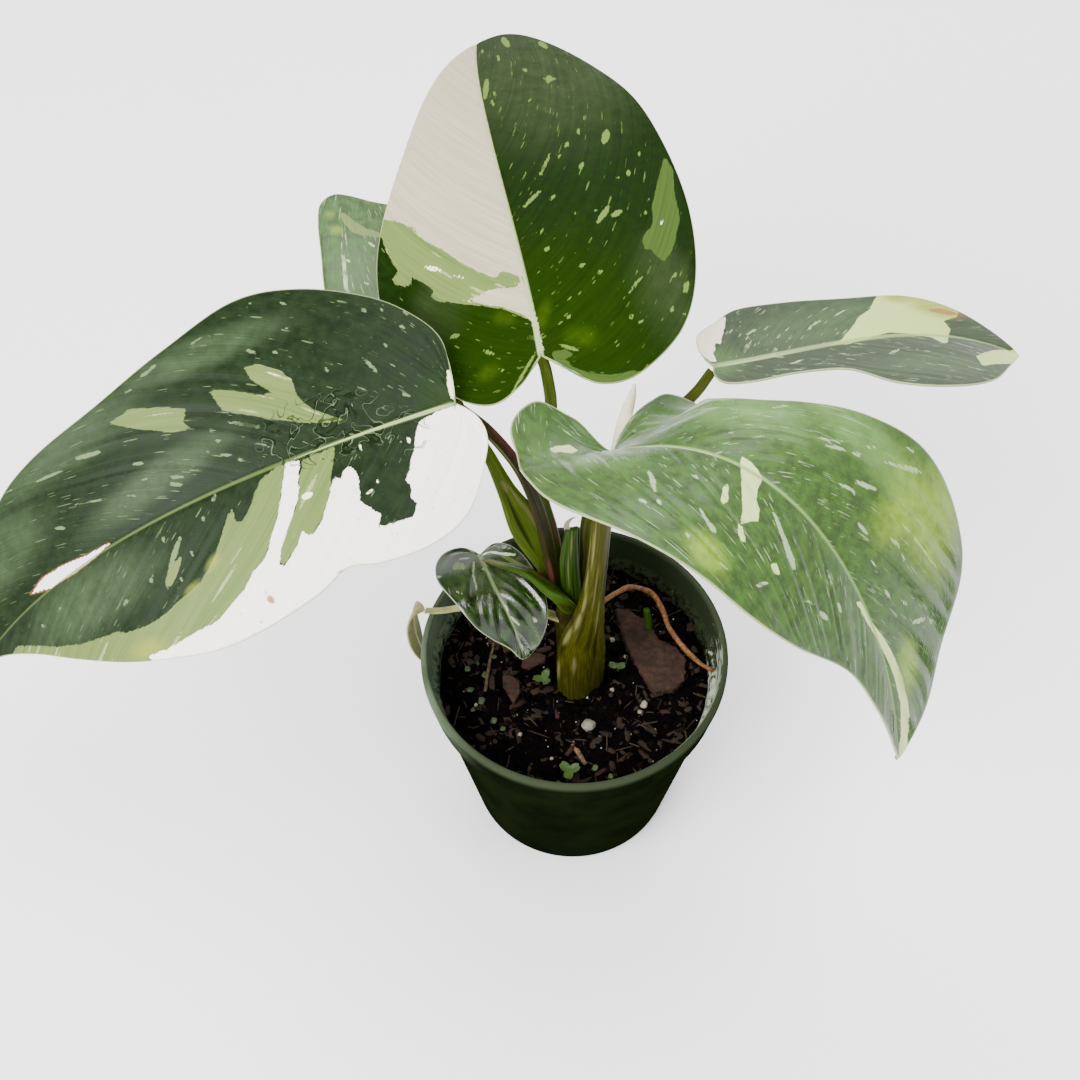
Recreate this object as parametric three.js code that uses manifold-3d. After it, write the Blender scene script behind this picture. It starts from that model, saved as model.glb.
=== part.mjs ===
// A variegated philodendron with white, pale green and dark green leaves, in a round plastic nursery pot.
// Millimetres, +Z up. The origin is the middle of the pot's flat underside. Seen from the front, +X is to
// the right and +Y is away. Each leaf is a stalk and a blade, and the stalks meet at a short stem.
import * as THREE from "three";
import { mergeVertices } from "three/addons/utils/BufferGeometryUtils.js";
import Module from "manifold-3d";

const wasm = await Module();
wasm.setup();

// Every piece keeps this much air to its neighbours.
const GAP = 0.3;

const POT = {
  height: 87,
  rimRadius: 51,
  rimDepth: 3.6,
  collarRadius: 49.7,
  collarFoot: 74,
  wallTopRadius: 47.4,
  wallTop: 72.4,
  baseRadius: 36,
  wall: 1.3,
  floor: 1.6,
  edge: 1.2,
  step: 1.8,
  sides: 48,
};
const DRAIN = { count: 6, radius: 4.5, ring: 25, sides: 12 };

// Waves and a dip towards the wall shape the soil's surface. No grain lies nearer the middle than clear.
const SOIL = { top: 72, bump: 0.9, dip: 1.6, rings: 9, sectors: 36, taper: 1.5, clear: 14 };
const PERLITE = { count: 12, smallest: 0.8, largest: 1.7, squash: 0.9 };
const CRUMBS = { count: 12, smallest: 1.1, largest: 2.4, squash: 0.6 };
const SEED = 11;

// Rows run along a blade, columns out from its midrib. The first part of the margin, the lobe, fans out
// from the point where the stalk joins.
const BLADE = { thickness: 0.9, rows: 18, columns: 5, fan: 0.22 };

// Each blade hangs on its midrib, a Bezier curve from the stalk to the tip. side points level to the
// blade's left. roll turns the blade about its midrib, in degrees, at the base, the middle and the tip.
// fold lifts each half, in degrees, and bend curls it, in thousandths of a radian per millimetre.
// lobeLift raises what lies behind the stalk. left and right are the margins laid flat, from the stalk
// round the lobe to the tip: millimetres along the midrib, then out from it.
const BLADES = {
  top: {
    midrib: [[-10, 28, 199], [-17, 73, 212], [-30, 120, 217], [-30, 165, 202]],
    side: [-1, -0.15],
    roll: [0, 0, 0],
    fold: { left: [-10, 6, 3], right: [8, 6, 3] },
    bend: { left: [-3, -4, -6], right: [-3, -4, -6] },
    lobeLift: 0,
    left: [
      [0, 0], [-8, 7], [-12, 16], [-7, 26], [4, 33], [18, 41], [33, 42], [50, 38], [77, 27],
      [106, 16], [126, 8], [142, 0],
    ],
    right: [
      [0, 0], [-6, 7], [-12, 15], [-11, 26], [0, 40], [16, 48], [40, 52], [68, 51], [98, 46],
      [124, 35], [143, 20], [149, 9], [142, 0],
    ],
  },
  left: {
    midrib: [[-34, 13, 196], [-84.4, -10.1, 199.2], [-143.6, -20, 179.1], [-175.8, -34, 133.7]],
    side: [0.34, -0.94],
    roll: [-22, -22, -22],
    fold: { left: [6, 6, 6], right: [6, 6, 6] },
    bend: { left: [-4, -4, -4], right: [-4, -4, -4] },
    lobeLift: 0,
    left: [
      [0, 0], [-4, 5], [-5, 11], [-2, 18], [8, 31], [20, 36], [34, 36], [43, 34], [53, 38], [69, 41],
      [84, 41], [99, 37], [114, 31], [129, 22], [142, 12.5], [155, 4.5], [168, 0],
    ],
    right: [
      [0, 0], [-2, 8], [-3, 19], [2, 28], [12, 37], [30, 46], [48, 49], [70, 43], [92, 37],
      [115, 34], [128, 30.5], [140, 23], [150, 14], [160, 5], [168, 0],
    ],
  },
  right: {
    midrib: [[9, -6, 197], [54, -34, 250], [85, -50, 167], [90, -63, 127]],
    side: [0.45, 0.89],
    roll: [-50, 4, 5],
    fold: { left: [27, 7, 8], right: [-6, 5, 8] },
    bend: { left: [-3, -4, -4], right: [-7, -4, -4] },
    lobeLift: 35,
    left: [
      [0, 0], [-7, 9], [-12, 20], [-14, 30], [-14, 37], [-9, 41], [0, 39], [10, 31], [21, 25],
      [34, 25], [45, 29.5], [62, 38.5], [82, 46.5], [104, 46], [119, 41], [131, 25], [147, 15],
      [154, 0],
    ],
    right: [
      [0, 0], [-8, -3], [-17, -3], [-22, 3], [-23, 10], [-19, 20], [-10, 25], [5, 35], [16, 40],
      [31, 39], [46, 38], [62, 36], [80, 29], [104, 15], [125, 9], [145, 4], [154, 0],
    ],
  },
  back_right: {
    midrib: [[41, 38, 182], [74, 38, 189], [105, 58, 183], [136, 50, 172]],
    side: [-0.1, 1],
    roll: [-17, -17, -17],
    fold: { left: [8, 8, 8], right: [8, 8, 8] },
    bend: { left: [-3, -3, -3], right: [-3, -3, -3] },
    lobeLift: 0,
    left: [
      [0, 0], [-4, 8], [-4, 16], [2, 21], [12, 26], [30, 25], [50, 21], [68, 20], [80, 16], [90, 8],
      [98, 0],
    ],
    right: [
      [0, 0], [0, 6], [3, 12], [10, 14], [20, 14], [33, 18], [41, 29], [52, 34], [66, 33], [80, 26],
      [92, 12], [98, 0],
    ],
  },
  back_left: {
    midrib: [[-45, 54, 180], [-51.8, 71.5, 183.8], [-52.9, 90.7, 184.1], [-54.3, 109.4, 181.4]],
    side: [-1, -0.15],
    roll: [0, 0, 0],
    fold: { left: [8, 8, 8], right: [8, 8, 8] },
    bend: { left: [-4, -4, -4], right: [-4, -4, -4] },
    lobeLift: 0,
    left: [
      [0, 0], [-6, 5], [-8, 13], [0, 22], [14, 25.5], [33, 25.6], [47, 26.4], [58, 26], [63.6, 22],
      [63, 16.7], [59.4, 9], [56.7, 0],
    ],
    right: [
      [0, 0], [-6, 5], [-8, 13], [0, 22], [14, 26], [30, 24], [44, 16], [53, 7], [56.7, 0],
    ],
  },
  small: {
    midrib: [[-30, 16, 118], [-27, 3, 122], [-17, -11, 116], [-17, -12, 101]],
    side: [0.9, 0.45],
    roll: [0, 0, 0],
    fold: { left: [8, 8, 8], right: [8, 8, 8] },
    bend: { left: [-4, -4, -4], right: [-4, -4, -4] },
    lobeLift: 0,
    left: [
      [0, 0], [-4, 5], [0, 10], [8, 13], [18, 14], [27, 12], [34, 7], [38, 3], [41, 0],
    ],
    right: [
      [0, 0], [-6, 5], [-4, 12], [5, 16], [14, 14], [22, 10], [30, 5], [36, 3], [41, 0],
    ],
  },
  old: {
    midrib: [[-50, 14.5, 89.5], [-62, 17.5, 92], [-56, 15.5, 66], [-49, 13.6, 46]],
    side: [-0.25, -0.97],
    roll: [0, 0, 0],
    fold: { left: [0, 0, 0], right: [0, 0, 0] },
    bend: { left: [0, 0, 0], right: [0, 0, 0] },
    lobeLift: 0,
    left: [
      [0, 0], [3, 5], [12, 9], [26, 9], [38, 6], [45, 3], [51, 0],
    ],
    right: [
      [0, 0], [3, 5], [12, 9], [26, 9], [38, 6], [45, 3], [51, 0],
    ],
  },
};

// A stalk is a run of stations: x, y, z, half its width and half its depth. face is the side that its
// channel looks to, which is flatter than its back.
const STALKS = {
  stem: {
    face: [0, 1, 0],
    round: true,
    stations: [
      [0, 1, 56, 5, 5], [-0.5, 1, 92, 5.4, 5.2], [-1, 1, 105, 5.4, 5], [-1.4, 1.4, 114, 4, 4],
    ],
  },
  petiole_right: {
    face: [-0.4, 0.9, 0.2],
    stations: [
      [2, -4, 60, 7.6, 6], [2, -4.5, 88, 8.2, 6.4], [2.2, -4.5, 101, 7.4, 5.8],
      [4, -4.5, 114, 5.2, 4.4], [5.2, -4.5, 127, 3.8, 3.5], [6.2, -4.6, 145, 3.2, 3],
      [7.2, -5.2, 172, 2.8, 2.6], [8.6, -5.9, 194.4, 2, 2],
    ],
  },
  cataphyll: {
    face: [-0.3, 0.9, 0.3],
    stations: [
      [-0.6, 1.2, 106, 2.4, 2.4], [-1.2, 2, 119, 3, 2.4], [-2, 3, 134, 2.9, 2.2],
      [-1.4, 4.8, 148, 2.1, 1],
    ],
  },
  petiole_back_right: {
    face: [-0.5, -0.3, 0.8],
    stations: [
      [1.6, 3, 108, 2.4, 2.2], [3.1, 8, 127, 2.4, 2.2], [3.6, 11, 144, 2.2, 2],
      [8.9, 17, 156, 2, 1.9], [19, 24, 166, 1.9, 1.8], [34, 32.5, 174.5, 1.8, 1.7],
      [40.4, 37.4, 181, 1.6, 1.6],
    ],
  },
  petiole_small: {
    face: [0.2, 0.2, 1],
    stations: [
      [-1, 1, 110, 3.4, 3], [-4.6, -0.6, 120, 3.6, 3.2], [-9, -1, 126, 2.8, 2.4],
      [-15, 1.6, 130, 1.8, 1.6], [-23.5, 8.5, 124.4, 1.3, 1.2], [-29.2, 15.4, 117.4, 1.1, 1],
    ],
  },
  petiole_left: {
    face: [0.5, -0.3, 0.8],
    stations: [
      [-3, 1.4, 110, 1.8, 1.8], [-5, 2, 119, 1.9, 1.9], [-7.2, 3, 131, 2.2, 2],
      [-9.1, 4, 146, 2.4, 2.1], [-12.2, 6, 160.6, 2.1, 1.9], [-17, 8.4, 174, 1.9, 1.8],
      [-25, 11, 186.4, 1.8, 1.7], [-33, 12.8, 194.6, 1.6, 1.5],
    ],
  },
  petiole_back_left: {
    face: [0.4, -0.6, 0.6],
    stations: [
      [-3.4, 3, 108, 1.8, 1.8], [-6.6, 4, 118, 2.2, 1.8], [-9.6, 6, 128, 3, 2],
      [-15.4, 9.6, 143, 5, 2.2], [-21, 13.6, 156, 2.7, 2], [-26.1, 18.6, 167, 1.7, 1.6],
      [-32, 27, 171.6, 1.6, 1.6], [-39, 41, 176, 1.5, 1.5], [-44.8, 53.2, 179, 1.4, 1.4],
    ],
  },
  petiole_top: {
    face: [0, -0.8, 0.5],
    stations: [
      [-2, 4, 108, 2, 2], [-4.7, 7, 123, 2, 2], [-7.4, 10, 140.5, 2, 1.9],
      [-10.4, 13.4, 155.4, 2, 1.8], [-9, 17.4, 170.2, 1.9, 1.8], [-7.2, 21.4, 183.4, 1.8, 1.7],
      [-8.4, 25.8, 193.6, 1.7, 1.6], [-9.8, 27.8, 198.4, 1.6, 1.5],
    ],
  },
  petiole_old: {
    face: [0, 0, 1],
    stations: [
      [-2, 0, 104, 1.7, 1.5], [-8, 0, 108, 1.6, 1.4], [-18, 3, 109, 1.5, 1.2],
      [-32, 8.4, 101, 1.4, 1.1], [-44, 12.8, 91.6, 1.3, 0.9], [-49.6, 14.4, 89.2, 1.2, 0.7],
    ],
  },
  spear: {
    face: [0, -1, 0],
    round: true,
    stations: [
      [2.4, 6, 109, 1.3, 1.3], [6.6, 11, 128, 1.6, 1.6], [10.7, 14.4, 159.4, 2, 2],
      [13.2, 17.2, 178.3, 2, 2], [15.2, 18.8, 190, 1.4, 1.4], [16.1, 19.4, 195.5, 0.5, 0.5],
    ],
  },
  aerial_root: {
    face: [0, 0, 1],
    round: true,
    stations: [
      [1, 2.4, 98, 0.9, 0.9], [6, 7.6, 98, 0.9, 0.9], [11, 13, 97, 0.9, 0.9],
      [15, 17, 95, 0.9, 0.9], [18, 20, 93, 0.9, 0.9], [22, 22, 90, 0.9, 0.9],
      [27, 21.6, 87, 0.9, 0.9], [30, 18, 84, 0.9, 0.9], [32, 13, 81, 0.9, 0.9],
      [34.4, 9, 79.4, 0.9, 0.9], [38.2, 4, 78.2, 0.9, 0.9], [42, 0, 77.2, 0.8, 0.8],
      [46.6, -3, 76.6, 0.7, 0.7],
    ],
  },
  green_stub: {
    face: [0, -1, 0],
    round: true,
    stations: [[26.4, 15, 66, 1.3, 1.3], [26, 16.4, 76, 1.3, 1.3], [25, 17.6, 83, 1.1, 1.1]],
  },
  straw: {
    face: [0, 0, 1],
    round: true,
    stations: [[-26, 17, 72.1, 0.6, 0.6], [-28.4, 5, 72.2, 0.6, 0.6], [-30, -7, 71.8, 0.6, 0.6]],
  },
  twig: {
    face: [0, 0, 1],
    round: true,
    stations: [[-1, -27.6, 72.2, 0.8, 0.6], [1, -31, 72, 0.9, 0.7], [3, -34.6, 71.3, 0.7, 0.6]],
  },
};
const STALK_SIDES = 12;
const THIN_SIDES = 8;
const THIN = 1.4;
// The channel side of a stalk stands out this share of its back's depth.
const CHANNEL = 0.7;

// The big piece of bark, seen from above, and the small chips: centre, length, width, thickness and turn.
const BARK = {
  outline: [
    [15, 24], [19, 23.5], [25, 19.4], [29, 11.5], [35, 8], [38, 3], [37, -5], [33, -9],
    [27, -10], [24.6, -6], [21, 1], [17, 12],
  ],
  low: 71.6,
  thickness: 3.6,
  bevel: 0.8,
};
const CHIPS = {
  chip_back_left: { at: [-21, 10, 74], size: [9, 6, 1.6], turn: 40 },
  chip_left: { at: [-21, -7, 74], size: [13, 6, 2.2], turn: 105 },
  chip_front_left: { at: [-14, 3.4, 74.2], size: [10, 7, 1.8], turn: 20 },
};
const CHIP_SIDES = 7;
const CHIP_BEVEL = 0.3;

// A seedling: its place, its height over the soil, the radius of a leaf and the leaves' turns.
const SEEDLINGS = {
  seedling_front: { at: [-2.4, -39], height: 5, leaf: 2.1, turns: [20, 140, 260] },
  seedling_left: { at: [-10.4, -5], height: 4, leaf: 1.8, turns: [60, 190, 310] },
  seedling_right: { at: [14.6, 0.6], height: 3.4, leaf: 1.7, turns: [0, 170] },
};
const SEEDLING = { stem: 0.6, rooted: 4, pad: 0.8, narrow: 0.75, lift: 0.3, sides: 10 };

const COLORS = {
  pot: 0x1d3326,
  soil: 0x1b1512,
  top: 0x35591f,
  left: 0x35502c,
  right: 0x5f8150,
  back_right: 0x6d8468,
  back_left: 0x56723f,
  small: 0x3f6330,
  old: 0xe5dfa8,
  stalk: 0x6f7a2a,
  spear: 0xf1ece0,
  bark: 0x5a4137,
  aerial_root: 0x9a5a35,
  green_stub: 0x5d9a3e,
  seedling: 0x5d9a3e,
  straw: 0xa58a66,
  twig: 0xa58a66,
  petiole_old: 0xe5dfa8,
};

// A small seeded generator, so that every run makes the same soil.
function randomFrom(seed) {
  let state = seed;
  return () => {
    state = (state * 1664525 + 1013904223) % 4294967296;
    return state / 4294967296;
  };
}

function solidOf(positions, triangles) {
  return new wasm.Manifold(
    new wasm.Mesh({
      numProp: 3,
      vertProperties: Float32Array.from(positions.flat()),
      triVerts: Uint32Array.from(triangles.flat()),
    }),
  );
}

function solidOfGeometry(geometry) {
  const bare = geometry.clone();
  bare.deleteAttribute("normal");
  bare.deleteAttribute("uv");
  const merged = mergeVertices(bare, 1e-4);
  return new wasm.Manifold(
    new wasm.Mesh({
      numProp: 3,
      vertProperties: merged.attributes.position.array,
      triVerts: Uint32Array.from(merged.index.array),
    }),
  );
}

// What a cut leaves is one body: the loose scraps are dropped.
function largestOf(solid) {
  return solid.decompose().reduce((best, body) => (body.volume() > best.volume() ? body : best));
}

function cutClear(solid, neighbours) {
  return largestOf(neighbours.reduce((left, neighbour) => left.subtract(neighbour), solid));
}

function meshOf(name, solid, color, roughness = 0.6) {
  const made = solid.getMesh();
  const geometry = new THREE.BufferGeometry();
  const step = made.numProp;
  const positions = new Float32Array(made.numVert * 3);
  for (let i = 0; i < made.numVert; i++) {
    positions.set(made.vertProperties.subarray(i * step, i * step + 3), i * 3);
  }
  geometry.setAttribute("position", new THREE.BufferAttribute(positions, 3));
  geometry.setIndex(new THREE.BufferAttribute(made.triVerts, 1));
  geometry.computeVertexNormals();
  const material = new THREE.MeshStandardMaterial({ color, roughness, metalness: 0 });
  const mesh = new THREE.Mesh(geometry, material);
  mesh.name = name;
  return mesh;
}

// The value at x, from 0 to 1, of the parabola through three values at the start, the middle and the end.
function through([start, middle, end], x) {
  return start * (1 - x) * (1 - 2 * x) + middle * 4 * x * (1 - x) + end * x * (2 * x - 1);
}

// Returns the function that lays a flat point of the blade, along and out from the midrib, in space.
// A positive distance out is on the left half.
function carrierOf(blade) {
  const curve = new THREE.CubicBezierCurve3(...blade.midrib.map((p) => new THREE.Vector3(...p)));
  const length = curve.getLength();
  const level = new THREE.Vector3(...blade.side, 0).normalize();
  const place = (along, out) => {
    const x = THREE.MathUtils.clamp(along / length, 0, 1);
    const half = out >= 0 ? "left" : "right";
    const ahead = curve.getTangentAt(x);
    const beside = level.clone().addScaledVector(ahead, -ahead.dot(level)).normalize();
    const above = new THREE.Vector3().crossVectors(ahead, beside);
    const roll = THREE.MathUtils.degToRad(through(blade.roll, x));
    const outward = beside.clone().multiplyScalar(Math.cos(roll)).addScaledVector(above, Math.sin(roll));
    const upward = above.clone().multiplyScalar(Math.cos(roll)).addScaledVector(beside, -Math.sin(roll));
    const fold = THREE.MathUtils.degToRad(through(blade.fold[half], x));
    const angle = fold + (through(blade.bend[half], x) / 1000) * Math.abs(out) * 0.5;
    const behind = Math.min(along, 0);
    return curve
      .getPointAt(x)
      .addScaledVector(ahead, along - x * length)
      .addScaledVector(outward, out * Math.cos(angle))
      .addScaledVector(upward, Math.abs(out) * Math.sin(angle) + (blade.lobeLift / 1000) * behind ** 2);
  };
  return { place, length };
}

// The blade's surface direction, from four points close round the flat one.
function normalAt(place, along, out) {
  const near = 0.8;
  const forward = place(along + near, out).sub(place(along - near, out));
  const leftward = place(along, out + near).sub(place(along, out - near));
  return forward.cross(leftward).normalize();
}

// One closed sheet: the same grid of vertices above and below, split into the same triangles along the
// shorter diagonals, with a rim round the margin. The lobe rows all meet at the stalk's point, and the last row is the tip.
function bladeSolid(blade, grow = 0) {
  const { place, length } = carrierOf(blade);
  const { rows, columns, fan } = BLADE;
  const half = BLADE.thickness / 2 + grow;
  const margins = {
    left: new THREE.SplineCurve(blade.left.map((p) => new THREE.Vector2(...p))),
    right: new THREE.SplineCurve(blade.right.map((p) => new THREE.Vector2(...p))),
  };
  const positions = [];
  const numbered = new Map();
  const vertexAt = (row, column) => {
    const atStalk = row === 0 || (column === 0 && row <= Math.round(fan * rows));
    const key = atStalk ? "stalk" : row === rows ? "tip" : `${row} ${column}`;
    if (!numbered.has(key)) {
      const s = row / rows;
      const rib = length * Math.max(0, (s - fan) / (1 - fan));
      const share = Math.abs(column) / columns;
      const margin = margins[column >= 0 ? "left" : "right"].getPoint(s);
      const along = atStalk ? -2 * grow : THREE.MathUtils.lerp(rib, margin.x, share);
      const out = atStalk ? 0 : Math.sign(column) * (margin.y + grow) * share;
      const centre = place(along, out);
      const normal = normalAt(place, along, out);
      numbered.set(key, positions.length);
      positions.push(
        centre.clone().addScaledVector(normal, half).toArray(),
        centre.clone().addScaledVector(normal, -half).toArray(),
      );
    }
    return numbered.get(key);
  };
  const triangles = [];
  const apart = (a, b) => Math.hypot(...positions[a].map((value, k) => value - positions[b][k]));
  const addBoth = (a, b, c) => {
    if (a === b || b === c || a === c) return;
    triangles.push([a, b, c], [c + 1, b + 1, a + 1]);
  };
  const addRim = (a, b) => {
    if (a !== b) triangles.push([a, a + 1, b + 1], [a, b + 1, b]);
  };
  for (let row = 0; row < rows; row++) {
    for (let column = -columns; column < columns; column++) {
      const [a, d] = [vertexAt(row, column), vertexAt(row, column + 1)];
      const [b, c] = [vertexAt(row + 1, column), vertexAt(row + 1, column + 1)];
      if (apart(a, c) < apart(b, d)) {
        addBoth(a, b, c);
        addBoth(a, c, d);
      } else {
        addBoth(a, b, d);
        addBoth(b, c, d);
      }
    }
    addRim(vertexAt(row, -columns), vertexAt(row + 1, -columns));
    addRim(vertexAt(row + 1, columns), vertexAt(row, columns));
  }
  return solidOf(positions, triangles);
}

// A solid swept along a curve through its stations, with an oval section that changes from one to the next.
function stalkSolid({ stations, face, round = false }, grow = 0) {
  const path = new THREE.CatmullRomCurve3(
    stations.map(([x, y, z]) => new THREE.Vector3(x, y, z)),
    false,
    "catmullrom",
  );
  const thin = stations.every((station) => station[3] < THIN);
  const sides = thin ? THIN_SIDES : STALK_SIDES;
  const steps = (stations.length - 1) * (thin ? 2 : 3);
  const looks = new THREE.Vector3(...face).normalize();
  const positions = [];
  const triangles = [];
  for (let step = 0; step <= steps; step++) {
    const t = step / steps;
    const place = t * (stations.length - 1);
    const from = Math.min(Math.floor(place), stations.length - 2);
    const share = place - from;
    const [width, depth] = [3, 4].map(
      (k) => THREE.MathUtils.lerp(stations[from][k], stations[from + 1][k], share) + grow,
    );
    const ahead = path.getTangent(t);
    const across = new THREE.Vector3().crossVectors(ahead, looks).normalize();
    const inward = new THREE.Vector3().crossVectors(across, ahead);
    const end = step === 0 ? -grow : step === steps ? grow : 0;
    const centre = path.getPoint(t).addScaledVector(ahead, end);
    for (let side = 0; side < sides; side++) {
      const angle = (side / sides) * 2 * Math.PI;
      const flatter = !round && Math.sin(angle) > 0 ? CHANNEL : 1;
      positions.push(
        centre
          .clone()
          .addScaledVector(across, width * Math.cos(angle))
          .addScaledVector(inward, depth * flatter * Math.sin(angle))
          .toArray(),
      );
    }
  }
  for (let step = 0; step < steps; step++) {
    for (let side = 0; side < sides; side++) {
      const a = step * sides + side;
      const b = step * sides + ((side + 1) % sides);
      triangles.push([a, b, b + sides], [a, b + sides, a + sides]);
    }
  }
  const last = steps * sides;
  for (let side = 1; side < sides - 1; side++) {
    triangles.push([0, side + 1, side], [last, last + side, last + side + 1]);
  }
  const solid = solidOf(positions, triangles);
  return solid.volume() > 0 ? solid : solidOf(positions, triangles.map(([a, b, c]) => [c, b, a]));
}

// Radius of the pot's inside wall at a height, below the step.
function innerRadius(z) {
  const share = (z - POT.floor) / (POT.collarFoot - POT.floor);
  return THREE.MathUtils.lerp(POT.baseRadius, POT.wallTopRadius, share) - POT.wall;
}

function potSolid() {
  const { height, rimRadius, rimDepth, collarRadius, collarFoot, wall, floor, edge } = POT;
  const lipTop = height - edge;
  const profile = [
    [0, 0], [POT.baseRadius - edge, 0], [POT.baseRadius, edge], [POT.wallTopRadius, POT.wallTop],
    [collarRadius - 0.3, collarFoot - 0.4], [collarRadius, height - rimDepth - 0.5],
    [rimRadius, height - rimDepth], [rimRadius, lipTop], [rimRadius - edge, height],
    [collarRadius - wall + 0.6, height], [collarRadius - wall, lipTop - 0.4],
    [collarRadius - wall - 0.3, collarFoot + POT.step], [innerRadius(collarFoot) + 1, collarFoot + 1],
    [innerRadius(collarFoot), collarFoot], [innerRadius(floor + 1), floor + 1],
    [innerRadius(floor) - 1, floor], [0, floor],
  ];
  const shell = new THREE.LatheGeometry(profile.map(([r, z]) => new THREE.Vector2(r, z)), POT.sides);
  shell.rotateX(Math.PI / 2);
  let solid = solidOfGeometry(shell);
  for (let i = 0; i < DRAIN.count; i++) {
    const angle = (i / DRAIN.count) * 2 * Math.PI;
    const hole = new THREE.CylinderGeometry(DRAIN.radius, DRAIN.radius, 4 * floor, DRAIN.sides);
    hole.rotateX(Math.PI / 2);
    hole.translate(DRAIN.ring * Math.cos(angle), DRAIN.ring * Math.sin(angle), 0);
    solid = solid.subtract(solidOfGeometry(hole));
  }
  return solid;
}

function soilHeight(x, y) {
  const waves = Math.sin(0.33 * x + 1) * Math.cos(0.29 * y) + 0.7 * Math.sin(0.21 * x - 0.38 * y + 2);
  const wayOut = Math.hypot(x, y) / innerRadius(SOIL.top);
  return SOIL.top + SOIL.bump * waves - SOIL.dip * wayOut ** 4;
}

function soilSolid(pits) {
  const random = randomFrom(SEED);
  const bottom = POT.floor + GAP;
  const { rings, sectors } = SOIL;
  const positions = [[0, 0, soilHeight(0, 0)], [0, 0, bottom]];
  const triangles = [];
  const outer = innerRadius(SOIL.top - SOIL.dip) - 1.5 * GAP;
  const number = (ring, sector) => 2 + (ring - 1) * sectors + (sector % sectors);
  for (let ring = 1; ring <= rings + 1; ring++) {
    for (let sector = 0; sector < sectors; sector++) {
      const angle = (sector / sectors) * 2 * Math.PI;
      const below = ring === rings + 1;
      const radius = below ? innerRadius(bottom) - SOIL.taper : outer * (ring / rings);
      const [x, y] = [radius * Math.cos(angle), radius * Math.sin(angle)];
      positions.push([x, y, below ? bottom : soilHeight(x, y)]);
    }
  }
  for (let sector = 0; sector < sectors; sector++) {
    triangles.push([0, number(1, sector), number(1, sector + 1)]);
    for (let ring = 1; ring <= rings; ring++) {
      const [inner, innerNext] = [number(ring, sector), number(ring, sector + 1)];
      const [next, nextAlong] = [number(ring + 1, sector), number(ring + 1, sector + 1)];
      triangles.push([inner, next, nextAlong], [inner, nextAlong, innerNext]);
    }
    triangles.push([1, number(rings + 1, sector + 1), number(rings + 1, sector)]);
  }
  let solid = solidOf(positions, triangles);
  for (const { count, smallest, largest, squash } of [PERLITE, CRUMBS]) {
    for (let i = 0; i < count; i++) {
      const angle = random() * 2 * Math.PI;
      const radius = SOIL.clear + Math.sqrt(random()) * (outer - SOIL.clear - 4);
      const size = THREE.MathUtils.lerp(smallest, largest, random());
      const grain = new THREE.IcosahedronGeometry(size, 0);
      grain.scale(1, 0.8 + 0.4 * random(), squash);
      grain.rotateZ(random() * Math.PI);
      const [x, y] = [radius * Math.cos(angle), radius * Math.sin(angle)];
      grain.translate(x, y, soilHeight(x, y) + 0.15 * size);
      solid = solid.add(solidOfGeometry(grain));
    }
  }
  return cutClear(solid, pits);
}

// A slab with bevelled edges over an outline, lowest at z = 0.
function slabGeometry(outline, thickness, bevel, grow = 0) {
  const shape = new THREE.Shape(outline.map(([x, y]) => new THREE.Vector2(x, y)));
  const geometry = new THREE.ExtrudeGeometry(shape, {
    depth: thickness - 2 * bevel,
    bevelThickness: bevel + grow,
    bevelSize: grow,
    bevelOffset: 0,
    bevelSegments: 1,
  });
  geometry.translate(0, 0, bevel);
  return geometry;
}

function barkSolid(grow = 0) {
  const geometry = slabGeometry(BARK.outline, BARK.thickness, BARK.bevel, grow);
  geometry.translate(0, 0, BARK.low);
  return solidOfGeometry(geometry);
}

function chipSolid({ at, size, turn }, grow = 0) {
  const outline = [];
  for (let i = 0; i < CHIP_SIDES; i++) {
    const angle = (i / CHIP_SIDES) * 2 * Math.PI;
    const radius = 0.5 * (0.85 + 0.15 * Math.sin(i * 2.4 + turn));
    outline.push([size[0] * radius * Math.cos(angle), size[1] * radius * Math.sin(angle)]);
  }
  const geometry = slabGeometry(outline, size[2], CHIP_BEVEL, grow);
  geometry.translate(0, 0, -size[2] / 2);
  geometry.rotateZ(THREE.MathUtils.degToRad(turn));
  geometry.translate(...at);
  return solidOfGeometry(geometry);
}

// A thin stem with small oval leaves round its top.
function seedlingSolid({ at, height, leaf, turns }, grow = 0) {
  const [x, y] = at;
  const ground = soilHeight(x, y);
  const { stem, rooted, lift } = SEEDLING;
  const ends = [[x, y, ground - rooted, stem, stem], [x, y, ground + height, stem, stem]];
  let solid = stalkSolid({ face: [0, 1, 0], round: true, stations: ends }, grow);
  if (grow > 0) return solid;
  for (const turn of turns) {
    const pad = new THREE.CylinderGeometry(leaf, leaf * 0.9, SEEDLING.pad, SEEDLING.sides);
    pad.rotateX(Math.PI / 2);
    pad.scale(1, SEEDLING.narrow, 1);
    pad.translate(leaf * 0.9, 0, 0);
    pad.rotateY(-lift);
    pad.rotateZ(THREE.MathUtils.degToRad(turn));
    pad.translate(x, y, ground + height - lift - 0.25 * Math.abs(Math.sin(turn)));
    solid = solid.add(solidOfGeometry(pad));
  }
  return solid;
}

const plant = new THREE.Group();
const add = (...given) => plant.add(meshOf(...given));

for (const [name, blade] of Object.entries(BLADES)) {
  add(`blade_${name}`, bladeSolid(blade), COLORS[name], 0.45);
}

// Each stalk is cut clear of the blades and of the stalks made before it.
const clearance = Object.values(BLADES).map((blade) => bladeSolid(blade, GAP));
const stalkClearance = [];
for (const [name, stalk] of Object.entries(STALKS)) {
  const solid = cutClear(stalkSolid(stalk), [...clearance, ...stalkClearance]);
  add(name, solid, COLORS[name] ?? COLORS.stalk);
  stalkClearance.push(stalkSolid(stalk, GAP));
}

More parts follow.
